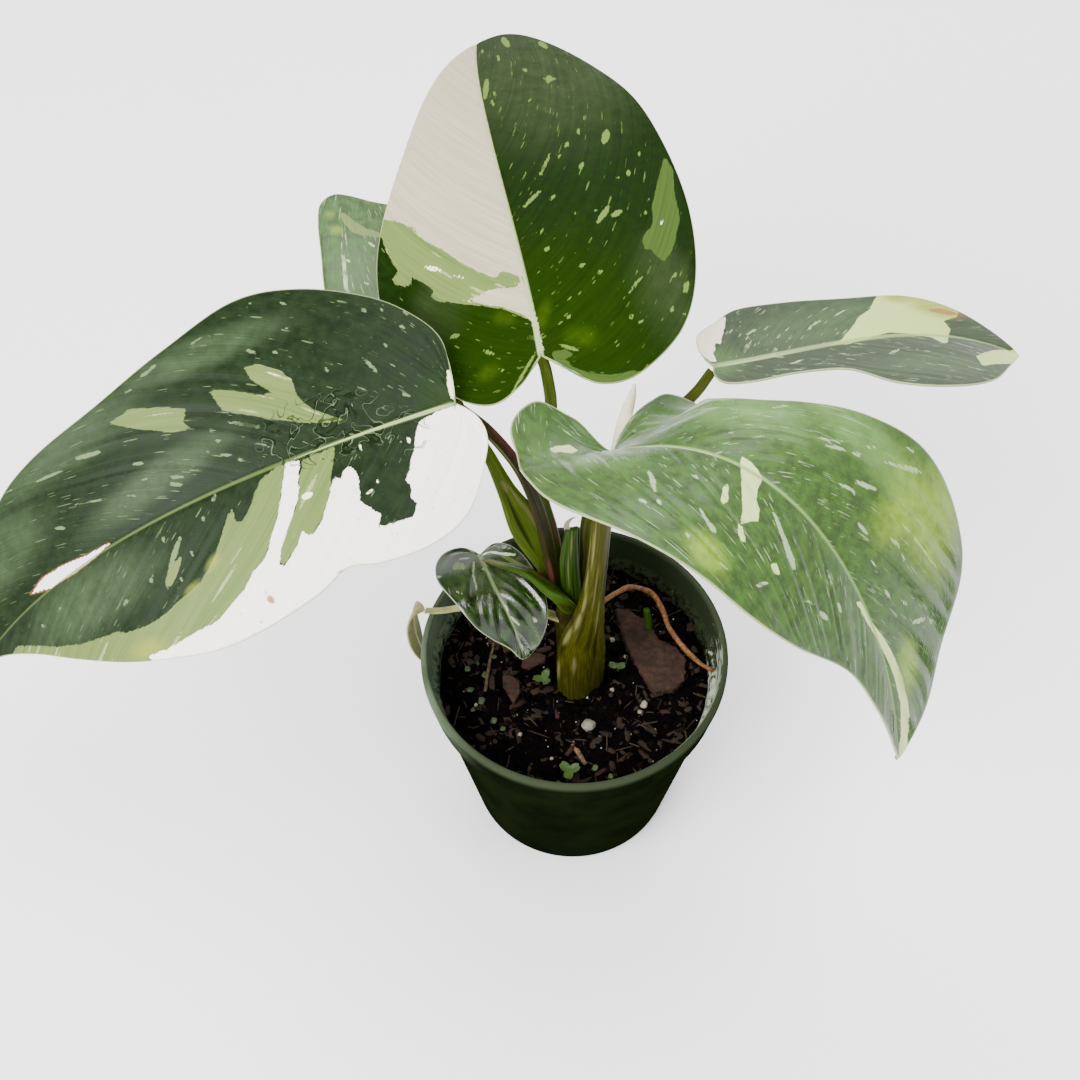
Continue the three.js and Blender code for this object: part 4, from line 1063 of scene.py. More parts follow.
def finish(w, shader, surface, rough, relief, gloss=0.5):
    """Joins colour, roughness and relief to the shader. relief is a height, its strength and its depth."""
    height, strength, depth = relief
    w.feed(shader.inputs["Base Color"], surface)
    w.feed(shader.inputs["Roughness"], rough)
    shader.inputs["Specular IOR Level"].default_value = gloss
    node = w.add("ShaderNodeBump", {"Strength": strength, "Distance": depth * MM, "Height": height})
    w.feed(shader.inputs["Normal"], node.outputs[0])


def opaque(setting):
    """A colour from the panel as a shader takes it."""
    return setting[:] + (1.0,)


# Each blade's colours, how rare its flecks are, how far the olive green at the stalk reaches, how wide its
# margin shows, how much its streaks differ and how ragged its white sectors are. cloud is how strongly the
# painted grey sheen, a reflection laid into the colour, shows.
PLAIN_LEAF = {
    "white": "efe6cc", "cream": "eef0cc", "cloud": 0.6, "contrast": 0.28, "border": 1.6, "rim": 0.35,
    "base": 12, "gloss": 0.25, "dust_rare": 5, "rough": 0.4,
}
LEAF_LOOKS = {
    "top": {
        "border": 2.2, "dark": "081800", "mid": "0c1f01", "deep": "162901", "painted_sheen": "353f28",
        "fleck": "586c32", "rare": 30, "dust_rare": 12, "base": 60, "rim": 0.3, "gloss": 0.015,
        # The top blade's white is greyer: partly its own tint and partly painted shade, as that sector faces
        # away from the light.
        "rib": "939e6c", "white": "9d9377", "cloud": 0.7, "lime": "324807",
    },
    "left": {
        "dark": "051301", "mid": "0f1e07", "deep": "152a04", "painted_sheen": "4b5c40", "fleck": "5e6f4b",
        "rare": 26, "dust_rare": 9, "rough": 0.38, "base": 14, "gloss": 0.08, "rib": "505f30",
        "white": "fdf9f0", "cloud": 0.5, "lime": "78863a",
    },
    "right": {
        "contrast": 0.15, "dark": "263915", "mid": "335219", "deep": "2c4a19", "painted_sheen": "608245",
        "fleck": "8a9a76", "rare": 22, "dust_rare": 4, "rough": 0.33, "base": 30, "rim": 0.45,
        "gloss": 0.24, "rib": "708e4d", "white": "e8e4cf", "cloud": 0.75, "lime": "88a81f",
        "cream": "b2c57d",
    },
    "back_right": {
        "dark": "23301b", "mid": "2e3b24", "deep": "445e30", "painted_sheen": "405533", "fleck": "8e9c76",
        "rare": 10, "rim": 0.4, "rib": "7d8e5c", "lime": "9a781c", "cream": "a5b765",
    },
    "back_left": {
        "dark": "283d19", "mid": "3a5728", "deep": "506f37", "painted_sheen": "4b633b", "fleck": "9aa785",
        "rare": 12, "rough": 0.42, "rib": "768c53", "lime": "809333",
    },
    "small": {
        "dark": "020800", "mid": "213b05", "deep": "203604", "painted_sheen": "3c4b2e", "fleck": "919a7e",
        "rare": 70, "dust_rare": 40, "rough": 0.14, "base": 8, "rim": 0.25, "gloss": 1.0, "rib": "7d8e5a",
        "cloud": 0.8, "lime": "6d8625",
    },
}


# The tints that the blades share, and the kinds of fleck that the noise lays on them. The glint tint is a
# painted highlight on the water.
TINTS = {
    "pale_shade": "445c2c", "milky": "9da276", "pale_lime": "8e9132", "dull_shade": "2b3a17",
    "dull": "3a4e20", "cream_lime": "7d861c", "cream_streak": "a2ab86", "freckle": "90795c",
    "margin": "a0ab7a", "scar": "88572a", "water": "081502", "painted_water_highlight": "7d8c6f",
}
DUST = {"Across": 130.0, "Along": 34.0, "Size": 0.36, "Ragged": 0.35}
LARGE = {"Across": 40.0, "Along": 11.0, "Size": 0.32, "Ragged": 0.6}
MILKY = {"Across": 60.0, "Along": 11.0, "Size": 0.45, "Rare": 7.0, "Ragged": 0.5}
FRECKLES = {"Across": 90.0, "Along": 60.0, "Size": 0.2, "Rare": 9.0, "Ragged": 0.4}


def patch_mask(w, veins, key, reach=1.6):
    """The mask of a patch with a ragged border, from the blade's values of that name."""
    return w.group(edge_group(), Distance=w.attribute(key), Vector=veins, Reach=reach)["Mask"]


def leaf_material(name, settings):
    """The upper face of a blade: greens, painted sheen and glints, flecks, pale and white sectors, midrib,
    margin and relief.
    """
    look = {**PLAIN_LEAF, **LEAF_LOOKS[name]}
    material, w, shader = new_material("leaf_" + name)
    veins, flat = w.uv("veins"), w.uv("flat")
    relief = w.group(grain_group(), Vector=veins, Place=w.place(), Lines=1.0, Pits=0.5)
    streak, lime = relief["Streak"], w.attribute("lime")

    def flecks(kind, shift=0.0, **sizes):
        place = w.vector("ADD", veins, (shift, shift * 0.7, 0.0))
        return w.group(speckle_group(), Vector=place, **kind, **sizes)["Mask"]

    mottle = w.streaks(flat, (30.0, 30.0, 1.0), 4.0, 0.6)
    green = w.mix(w.span(mottle, 0.35, 0.65), look["dark"], look["mid"])
    # Painted sheen: a grey reflection laid into the colour inside each blade's sheen ovals.
    cloudy = w.span(w.noise(flat, 14.0, 5.0, 0.7), 0.3, 0.7, 0.6, 1.0)
    painted_sheen = w.times(cloudy, w.span(w.attribute("painted_sheen"), 0.0, 0.75, 0.06, look["cloud"]))
    green = w.mix(painted_sheen, green, look["painted_sheen"])
    near_stalk = w.span(w.attribute("stalk_distance"), look["base"], look["base"] * 0.25, 0.0, 0.8)
    green = w.mix(near_stalk, green, look["deep"])
    low, high = 1 - look["contrast"], 1 + look["contrast"]
    green = w.dim(green, w.span(streak, 0.3, 0.7, low, high, smooth=False))
    crowd = w.span(w.noise(flat, 16.0), 0.38, 0.6, 0.1, 1.0)
    dust = flecks(DUST, 0.37, Rare=look["dust_rare"])
    green = w.mix(w.times(dust, w.times(crowd, 0.7)), green, look["fleck"])
    green = w.mix(w.times(flecks(LARGE, Rare=look["rare"]), crowd), green, look["fleck"])
    fray = w.minus(w.noise(veins, 150.0, 3.0), 0.5)
    frayed = w.math("MULTIPLY_ADD", fray, 0.9, w.attribute("fleck"))
    green = w.mix(w.span(frayed, -0.12, 0.14), green, look["fleck"])
    lime_color = w.mix(w.span(mottle, 0.25, 0.75, 0.55, 1.0), look["mid"], look["lime"])
    surface = w.mix(w.span(lime, 0.0, 0.9, 0.0, 0.6), green, lime_color)

    pale_streaks = w.span(streak, 0.28, 0.58, 0.25, 1.0)
    pale = w.mix(pale_streaks, TINTS["pale_shade"], opaque(settings.pale_color))
    pale = w.mix(w.times(flecks(MILKY, 0.9), 0.6), pale, TINTS["milky"])
    pale = w.mix(w.span(lime, 0.0, 0.9, 0.0, 0.5), pale, TINTS["pale_lime"])
    surface = w.mix(patch_mask(w, veins, "pale"), surface, pale)
    dull = w.mix(pale_streaks, TINTS["dull_shade"], TINTS["dull"])
    surface = w.mix(patch_mask(w, veins, "dull"), surface, dull)
    cream = w.mix(w.span(lime, 0.0, 0.6, 0.0, 0.9), look["cream"], TINTS["cream_lime"])
    cream = w.mix(w.span(streak, 0.3, 0.6, 0.3, 0.0), cream, TINTS["cream_streak"])
    surface = w.mix(patch_mask(w, veins, "cream", 0.8), surface, cream)

    white = w.mix(w.span(streak, 0.25, 0.75, 0.05, 0.2), look["white"], opaque(settings.white_color))
    white = w.dim(white, w.span(streak, 0.25, 0.75, 0.86, 1.02, smooth=False))
    white = w.mix(w.times(flecks(FRECKLES, 0.21), 0.5), white, TINTS["freckle"])
    surface = w.mix(patch_mask(w, veins, "white", look["border"]), surface, white)

    surface = w.mix(w.times(w.span(w.attribute("rib"), -0.35, 0.25), 0.8), surface, look["rib"])
    surface = w.mix(w.times(w.span(w.attribute("rim"), look["rim"], 0.0), 0.7), surface, TINTS["margin"])
    scar = w.times(w.span(w.attribute("brown"), -0.25, 0.35), w.span(mottle, 0.3, 0.55, 0.5, 0.9))
    surface = w.mix(scar, surface, TINTS["scar"])

    drops, wet_zone = w.noise(flat, 15.0, 1.0, 0.4, 1.2), w.attribute("wet")
    outline, water_highlight_line = (w.math("ABSOLUTE", w.minus(drops, level)) for level in (0.52, 0.56))
    wet = w.times(w.span(outline, 0.03, 0.014), w.span(wet_zone, 0.0, 0.3))
    surface = w.mix(w.times(wet, 0.75), surface, TINTS["water"])
    # Painted highlight: a thin light line beside each water outline stands for the glint on the water.
    painted_water_highlight = w.times(w.span(water_highlight_line, 0.009, 0.003), w.span(wet_zone, 0.1, 0.4))
    surface = w.mix(w.times(painted_water_highlight, 0.4), surface, TINTS["painted_water_highlight"])
    rough = w.span(mottle, 0.3, 0.7, look["rough"] - 0.06, look["rough"] + 0.08)
    rough = w.minus(rough, w.times(wet, look["rough"] - 0.08))
    finish(w, shader, surface, rough, (relief["Height"], 0.5, 0.12), look["gloss"])
    return material


def underside_material():
    """The matt, paler lower face of the blades."""
    material, w, shader = new_material("leaf_underside")
    veins = w.uv("veins")
    relief = w.group(grain_group(), Vector=veins, Place=w.place())
    mottle = w.noise(w.uv("flat"), 20.0, 3.0, 0.55)
    surface = w.mix(w.span(mottle, 0.3, 0.7), "365023", "486137")
    surface = w.mix(w.span(relief["Streak"], 0.35, 0.7, 0.0, 0.4), surface, "5f7848")
    for key, tint in (("pale", "808f5e"), ("cream", "a4ae81"), ("white", "dccfb4")):
        surface = w.mix(patch_mask(w, veins, key, 1.5), surface, tint)
    surface = w.mix(w.span(w.attribute("rib"), -0.4, 0.5, 0.0, 0.8), surface, "7d935a")
    finish(w, shader, surface, 0.62, (relief["Height"], 0.6, 0.15))
    return material


def old_leaf_material():
    """The limp cream-yellow blade and stalk."""
    material, w, shader = new_material("leaf_old")
    place = w.place()
    surface = w.mix(w.span(w.noise(place, 120.0, 4.0, 0.6), 0.35, 0.65), "807e40", "a29f6c")
    surface = w.mix(w.span(w.noise(place, 60.0, 3.0, 0.6), 0.6, 0.75), surface, "936728")
    finish(w, shader, surface, 0.6, (w.noise(place, 900.0, 2.0, 0.6), 0.5, 0.1))
    return material


def stalk_material(name, tints, marks=(), rough=0.38):
    """A stalk: ridges, pale streaks and soft coloured marks, each from one of the stalk's own values."""
    back, light, dark = tints
    material, w, shader = new_material(name)
    uv = w.uv("stalk")
    streaks = w.streaks(uv, (34.0, 3.0, 1.0), 3.0, 0.6)
    fine = w.streaks(uv, (110.0, 9.0, 1.0), 2.0, 0.6)
    surface = w.mix(w.span(streaks, 0.3, 0.66, 0.25, 1.0), dark, back)
    surface = w.mix(w.span(fine, 0.46, 0.76, 0.0, 0.55), surface, light)
    for key in marks:
        amount = w.span(w.attribute(key), 0.0, 0.6, 0.0, 0.75)
        surface = w.mix(w.times(amount, w.span(fine, 0.2, 0.55, 0.6, 1.0)), surface, MARK_COLORS[key])
    height = w.plus(w.times(fine, 0.4), streaks)
    finish(w, shader, surface, w.span(fine, 0.3, 0.7, rough - 0.05, rough + 0.12), (height, 0.6, 0.2), 0.06)
    return material


# Bark, root, straw and the like: dark and light tint, scale of the grain and roughness.
WOODS = {
    "bark": ("180c05", "372319", 260.0, 0.85), "seedling": ("253a11", "405822", 400.0, 0.45),
    "bent_root": ("48290a", "865a2d", 900.0, 0.6), "dry_straw": ("322314", "604e32", 900.0, 0.6),
    "dry_twig": ("402e1b", "725e3e", 900.0, 0.6), "shred": ("0c0704", "291b0c", 500.0, 0.85),
    "fibre": ("170f07", "392d1a", 500.0, 0.85), "perlite": ("4e493e", "908b7a", 900.0, 0.8),
    "leaflet": ("202e15", "415030", 500.0, 0.5), "red_bits": ("130804", "30180c", 500.0, 0.85),
}


def wood_material(name):
    """One of the fibrous, dull finishes."""
    dark, light, scale, rough = WOODS[name]
    material, w, shader = new_material(name)
    place = w.place()
    grain = w.noise(place, scale, 5.0, 0.65, 0.6)
    fine = w.noise(place, scale * 5, 3.0, 0.6)
    surface = w.mix(w.span(grain, 0.35, 0.68), dark, light)
    surface = w.mix(w.span(fine, 0.3, 0.7, 0.5, 0.0), surface, dark)
    surface = w.mix(w.span(w.attribute("tone"), 0.0, 1.0, 0.0, 0.6, smooth=False), surface, light)
    finish(w, shader, surface, rough, (w.plus(grain, w.times(fine, 0.3)), 0.8, 0.35), 0.25)
    return material


def soil_material(settings):
    """Dark potting mix with fine lighter grains. The loose crumbs differ in tone."""
    material, w, shader = new_material("soil")
    place = w.place()
    coarse = w.noise(place, 260.0, 5.0, 0.65)
    fine = w.noise(place, 1700.0, 3.0, 0.6)
    surface = w.mix(w.span(coarse, 0.4, 0.75), opaque(settings.color), "080402")
    surface = w.mix(w.span(fine, 0.66, 0.78, 0.0, 0.5), surface, "180f08")
    surface = w.mix(w.span(w.attribute("tone"), 0.7, 1.0, 0.0, 0.7), surface, "1c140c")
    rough = w.span(coarse, 0.3, 0.7, 0.6, 0.95)
    finish(w, shader, surface, rough, (w.plus(coarse, w.times(fine, 0.5)), 1.0, 0.6), 0.03)
    return material


# Where the pot's marks lie, in metres above its foot: from where a mark is nil to where it is full. The lip's
# band carries a painted highlight, and the band low on the collar dust with a painted highlight.
POT_BANDS = {"rim": (0.0835, 0.086), "dust_and_highlight": (0.066, 0.08), "lip": (0.0853, 0.0862), "soil": (0.0775, 0.073)}
# The lip's tint is a painted highlight, and the pale grey-green tint for the left of the collar is dust with
# a painted highlight.
POT_TINTS = {
    "shade": "0e1407", "paler_inside_and_rim": "283020", "dust_and_highlight": "667560", "scuff": "283226", "crust": "9aa18d",
    "lip": "3a4130", "soil": "0e0804",
}


def pot_material(settings):
    """Moulded green plastic with scuffs outside, and dried mineral marks and soil dust inside. It is paler
    inside and on the rim, with a painted highlight on the lip and dust with a painted highlight on the left
    of the collar.
    """
    material, w, shader = new_material("pot_plastic")
    place = w.place()
    x, y, z = w.add("ShaderNodeSeparateXYZ", {0: place}).outputs
    radius = w.math("SQRT", w.plus(w.times(x, x), w.times(y, y)))
    turn = w.math("ARCTAN2", y, x)
    wrap = w.add("ShaderNodeCombineXYZ", {0: w.times(turn, 0.05), 1: z, 2: radius}).outputs[0]
    cloud = w.noise(place, 60.0, 4.0, 0.6)
    bands = {key: w.span(z, *band) for key, band in POT_BANDS.items()}
    surface = w.mix(w.span(cloud, 0.3, 0.7), opaque(settings.color), POT_TINTS["shade"])
    inside = w.span(w.attribute("inside"), 0.4, 0.6)
    # Paler inside the pot and on its rim.
    paler_inside_and_rim = w.math("MAXIMUM", bands["rim"], inside)
    surface = w.mix(w.times(paler_inside_and_rim, 0.85), surface, POT_TINTS["paler_inside_and_rim"])
    # Partly dust and partly painted highlight: a pale film on the left of the collar, the side that faces the
    # key light.
    left_side = w.span(w.math("ABSOLUTE", turn), 2.2, 2.9)
    dust_and_highlight = w.times(w.times(left_side, bands["dust_and_highlight"]), w.span(cloud, 0.3, 0.6, 0.4, 0.9))
    surface = w.mix(dust_and_highlight, surface, POT_TINTS["dust_and_highlight"])
    scuffs = w.streaks(wrap, (60.0, 900.0, 60.0), 4.0, 0.7)
    surface = w.mix(w.span(scuffs, 0.62, 0.74, 0.0, 0.15), surface, POT_TINTS["scuff"])
    right_side = w.span(w.math("ABSOLUTE", w.minus(turn, -0.5)), 0.95, 0.25)
    crust = w.streaks(wrap, (240.0, 500.0, 100.0), 5.0, 0.7)
    low_crust = w.plus(crust, w.span(right_side, 0.0, 1.0, -0.12, 0.2, smooth=False))
    marks = w.times(w.span(low_crust, 0.56, 0.7), inside)
    surface = w.mix(w.times(marks, 0.85), surface, POT_TINTS["crust"])
    # Painted highlight: the top of the lip is lighter, as the plastic is given no gloss.
    surface = w.mix(w.times(bands["lip"], 0.45), surface, POT_TINTS["lip"])
    specks = w.span(w.noise(place, 500.0, 4.0, 0.6), 0.45, 0.62)
    surface = w.mix(w.times(bands["soil"], w.times(inside, specks)), surface, POT_TINTS["soil"])
    height = w.plus(w.times(w.noise(place, 1800.0), 0.4), scuffs)
    finish(w, shader, surface, w.span(cloud, 0.3, 0.7, 0.36, 0.52), (height, 0.25, 0.1), 0.0)
    return material


# Settings

def tint_setting(name, description, default):
    """A colour on the panel."""
    return FloatVectorProperty(name=name, description=description, default=default, subtype="COLOR", size=3)


class PhiloLeafSettings(bpy.types.PropertyGroup):
    thickness: FloatProperty(
        name="Thickness", description="How thick a blade is", default=0.0006, unit="LENGTH"
    )
    white_color: tint_setting("White", "The white sectors", color("f4ecda")[:3])
    pale_color: tint_setting("Pale green", "The pale green sectors", color("61713c")[:3])


class PhiloPotSettings(bpy.types.PropertyGroup):
    segments: IntProperty(name="Segments", description="Steps round the pot", default=144, min=24, max=256)
    color: tint_setting("Pot", "The plastic of the pot", color("080c05")[:3])


class PhiloSoilSettings(bpy.types.PropertyGroup):
    crumbs: IntProperty(
        name="Crumbs", description="How many loose crumbs lie on the soil", default=1500, min=0
    )
    seed: IntProperty(name="Seed", description="Which way the loose grains fall", default=11)
    color: tint_setting("Soil", "The darkest soil", color("020101")[:3])


class PhiloStageSettings(bpy.types.PropertyGroup):
    key_power: FloatProperty(
        name="Key light", description="The big light in front and above", default=51.0, unit="POWER"
    )
    sky: FloatProperty(name="Sky", description="How bright the pale surroundings are", default=1.35, min=0.0)
    floor_color: tint_setting("Floor", "The plain floor", (0.9, 0.9, 0.9))


# Operators

# The relief of a blade in millimetres on one of RELIEF_SIZE: quilted veins, the groove and slow swells.
# SLIT_EDGE is how far the brown border of the slit in the left blade reaches.
RELIEF_SIZE = 150
QUILT, GROOVE_DEPTH, GROOVE_WIDTH, SWELL = 0.16, 0.3, 0.9, 0.9
SLIT_EDGE = 0.3


def relief_of(blade, length, size, along, out, share, veins):
    """How far each point of a blade stands off its plain bend."""
    wave = np.sin(veins * 0.97 + 2.2 * np.sin(veins * 0.37)) * (0.55 + 0.45 * np.sin(veins * 0.61 + 1))
    quilt = QUILT * wave * np.clip(share * 3, 0, 1) * np.clip((1 - share) * 5, 0, 1)
    groove = -GROOVE_DEPTH * np.exp(-(out / GROOVE_WIDTH) ** 2) * np.clip(along / 8, 0, 1)
    swell = SWELL * np.sin(along / length * 9 + out * 0.08) * share ** 2 * np.clip(along / 30, 0.15, 1)
    quilt, groove, swell = quilt * blade["quilt"], groove * blade["groove"], swell * blade["swell"]
    return quilt * size / RELIEF_SIZE + groove + swell * size / RELIEF_SIZE * 0.6


def values_of(name, blade, length, along, out):
    """The blade's values for its looks: how far or how deep each point is inside each patch and mark."""
    steps = np.linspace(0, 1, 90)
    mirrored = spline(blade["right"], steps[::-1]) * np.array([1, -1])
    outline = np.vstack([spline(blade["left"], steps), mirrored])
    rib_width = np.interp(along, [0, length * 0.5, length], blade["rib_width"])
    flecks = FLECKS.get(name, {})
    values = {
        "rim": inside_distance(outline, along, out),
        "rib": rib_width - np.hypot(out, np.minimum(along, 0)),
        "stalk_distance": np.hypot(along, out),
        "painted_sheen": spot_depth(PAINTED_SHEEN_SPOTS.get(name, []), along, out),
        "lime": spot_depth(flecks.get("lime", []), along, out),
        "wet": spot_depth(WET if name == "left" else [], along, out),
    }
    for key in ("white", "pale", "dull", "cream", "fleck", "brown"):
        values[key] = fleck_distance(flecks.get(key, []), along, out)
        for patch in PATCHES[name].get(key, []):
            values[key] = np.maximum(values[key], inside_distance(patch, along, out))
    if name == "left":
        slit = np.abs(inside_distance(TEAR, along, out))
        values["brown"] = np.maximum(values["brown"], SLIT_EDGE - slit)
    return values


def rib_below(length, place):
    """The round rib on the underside, from the stalk almost to the tip."""
    steps = 24
    under = np.linspace(0, 0.97, steps)
    middle = place(under * length, np.zeros(steps), np.full(steps, -0.9))
    thickness = np.interp(under, [0, 0.3, 1], [1.3, 0.9, 0.25]) * min(1, length / 90)
    stations = [[*spot, half, half] for spot, half in zip(middle, thickness)]
    bm, _, _ = sweep({"face": [0, 0, 1], "round": True, "stations": stations}, 12, 60)
    for face in bm.faces:
        face.material_index = 1
    set_values(bm, "rib", [1.0] * len(bm.verts))
    cap_ends(bm)
    return bm


def make_blade(name, settings, underside):
    """A blade as a thin closed sheet with its own rib below."""
    blade = {**PLAIN_BLADE, **BLADES[name]}
    length, place = carrier_of(blade)
    size = max(length, 40)
    columns = int(np.clip(size / 2.3, 24, 68))
    rows = int(np.clip(size / 0.9, 60, 190))
    bm, across, s = grid_of(2 * columns, rows)
    share = np.abs(across) ** 1.2
    left = -across > 0
    margin = np.where(left[:, None], spline(blade["left"], s), spline(blade["right"], s))
    rib = length * np.maximum(0, (s - FAN) / (1 - FAN))
    curl = 1 + 0.35 * np.clip((s - FAN) / 0.3, 0, 1) * np.clip((1 - s) / 0.15, 0, 1)
    along = rib + (margin[:, 0] - rib) * share ** curl
    out = np.where(left, 1, -1) * margin[:, 1] * share
    at_stalk = (s == 0) | ((share == 0) & (s <= FAN))
    along[at_stalk], out[at_stalk] = 0, 0
    spread = np.hypot(along - rib, out)
    lean = 0.3 + blade["lean"] * np.minimum(s / 0.75, 1)
    veins = s * length - lean * spread
    set_places(bm, place(along, out, relief_of(blade, length, size, along, out, share, veins)))
    for key, amounts in values_of(name, blade, length, along, out).items():
        set_values(bm, key, amounts)
    set_uv(bm, "veins", list(zip(veins / UV_SPAN, np.sign(-across) * spread / UV_SPAN)))
    set_uv(bm, "flat", list(zip(along / UV_SPAN, out / UV_SPAN)))
    if name == "left":
        inside = inside_distance(TEAR, along, out)
        gone = [face for face in bm.faces if all(inside[v.index] > -SLIT_EDGE for v in face.verts)]
        bmesh.ops.delete(bm, geom=gone, context="FACES")
    bmesh.ops.remove_doubles(bm, verts=bm.verts, dist=1e-6)
    materials = [old_leaf_material()] * 2 if name == "old" else [leaf_material(name, settings), underside]
    sheet = piece_of(bm, "leaf_" + name, materials)
    thick = sheet.modifiers.new("thickness", "SOLIDIFY")
    thick.thickness = settings.thickness
    thick.offset = 0
    thick.material_offset = 1
    thick.material_offset_rim = 0
    bake(sheet)
    joined = bmesh.new()
    joined.from_mesh(sheet.data)
    add_to(joined, rib_below(length, place))
    joined.to_mesh(sheet.data)
    joined.free()
    sheet.data.shade_smooth()
    return sheet


BLADE_SLOTS = {
    "top": "leaf_half_white", "left": "leaf_patched", "right": "leaf_speckled", "back_right": "leaf_grey",
    "back_left": "leaf_streaked", "small": "leaf_young", "old": "leaf_pale",
}


class PHILO_OT_leaves(bpy.types.Operator):
    """Makes the seven blades"""
    bl_idname = "philo.leaves"
    bl_label = "Leaves"

    def execute(self, context):
        settings = context.scene.philo_leaf
        underside = underside_material()
        for name in BLADES:
            hand_over(make_blade(name, settings, underside), BLADE_SLOTS[name], "blade_" + name)
        return {"FINISHED"}


# The tints of each stalk: the usual one, the light one and the dark one.
DRY_TIP = ("89836f", "b5af9a", "605c45")
NEW_LEAF = ("dcd2b8", "efe8d4", "bcbc8c")
STALK_LOOKS = {
    "stem": {"colors": ("292a03", "424413", "1d1e03")},
    "petiole_right": {"colors": ("323201", "585716", "1e1e01"), "lips": (0.12, 0.05, 0.0), "ridges": 0.035},
    "cataphyll": {"colors": ("253d07", "425a19", "0f2203"), "lips": (0.1, 0.2, 0.1), "ridges": 0.03},
    "petiole_back_right": {"colors": ("353a04", "595c1a", "1e2504")},
    "petiole_small": {"colors": ("2c4507", "54662a", "1e3304"), "lips": (0.15, 0.05, 0.0)},
    "petiole_left": {"colors": ("232001", "3d380e", "0f0c01")},
    "petiole_back_left": {"colors": ("415210", "747d33", "283907"), "lips": (0.0, 0.35, 0.0)},
    "petiole_top": {"colors": ("2d3b07", "62682a", "162404")},
    "green_stub": {"colors": ("2d470c", "4f6623", "1b3307")},
}


class PHILO_OT_stalks(bpy.types.Operator):
    """Makes the stem, the stalks and their sheaths"""
    bl_idname = "philo.stalks"
    bl_label = "Stalks"

    def execute(self, context):
        for name, look in STALK_LOOKS.items():
            lips, ridges = look.get("lips", (0, 0, 0)), look.get("ridges", 0.015)
            bm, turn, at = sweep(STALKS[name], 48, 150, lips, ridges)
            marks = MARKS.get(name, {})
            for key, spots in marks.items():
                set_values(bm, key, mark_amount(spots, turn, at))
            cap_ends(bm)
            title = "stalk_" + name
            piece = piece_of(bm, title, [stalk_material(title, look["colors"], marks)])
            hand_over(piece, "stalk", name)
        bm, _, _ = sweep({"face": [0, -1, 0], "stations": WISP}, 16, 40)
        cap_ends(bm)
        wisp = stalk_material("dry_sheath_tip", DRY_TIP, rough=0.6)
        hand_over(piece_of(bm, "sheath_tip", [wisp]), "stalk")
        bm, _, _ = sweep(STALKS["petiole_old"], 24, 80)
        cap_ends(bm)
        piece = piece_of(bm, "stalk_old", [bpy.data.materials["leaf_old"]])
        hand_over(piece, "leaf_pale", "petiole_old")
        return {"FINISHED"}


class PHILO_OT_spear(bpy.types.Operator):
    """Makes the rolled new leaf"""
    bl_idname = "philo.spear"
    bl_label = "New leaf"

    def execute(self, context):
        def rolled(turn, s):
            wrap = (turn / (2 * math.pi) + 0.5 + 1.3 * s) % 1.0
            return 1 + 0.22 * (wrap - 0.5)

        bm, _, _ = sweep(STALKS["spear"], 48, 120, shape=rolled)
        cap_ends(bm)
        piece = piece_of(bm, "new_leaf", [stalk_material("new_leaf", NEW_LEAF, rough=0.45)])
        hand_over(piece, "spear", "spear")
        return {"FINISHED"}


class PHILO_OT_litter(bpy.types.Operator):
    """Makes the aerial root, the straw and the twig"""
    bl_idname = "philo.litter"
    bl_label = "Root and straw"

    def execute(self, context):
        looks = {
            "aerial_root": ("bent_root", "root"),
            "straw": ("dry_straw", "straw"),
            "twig": ("dry_twig", "straw"),
        }

        def knobbly(turn, s):
            return 1 + 0.12 * np.sin(37 * s + 2 * np.sin(turn)) * np.cos(turn + 11 * s)

        for name, (title, slot) in looks.items():
            bm, _, _ = sweep(STALKS[name], 16, 90, shape=knobbly)
            cap_ends(bm)
            hand_over(piece_of(bm, title, [wood_material(title)]), slot, name)
        return {"FINISHED"}


def rounded(profile, reach):
    """The profile with its inner corners cut back by short curves."""
    points = [profile[0]]
    for before, corner, after in zip(profile, profile[1:], profile[2:]):
        a, c, b = (Vector(p) for p in (before, corner, after))
        cut = min(reach, (a - c).length * 0.4, (b - c).length * 0.4)
        start, end = c + (a - c).normalized() * cut, c + (b - c).normalized() * cut
        for t in (0.0, 0.33, 0.67, 1.0):
            points.append(tuple(start * (1 - t) ** 2 + c * 2 * t * (1 - t) + end * t * t))
    return points + [profile[-1]]


def inner_radius(z):
    """The radius of the pot's inner wall below the collar."""
    share = (z - POT["floor"]) / (POT["collar_foot"] - POT["floor"])
    return POT["base_radius"] + (POT["wall_top_radius"] - POT["base_radius"]) * share - POT["wall"]


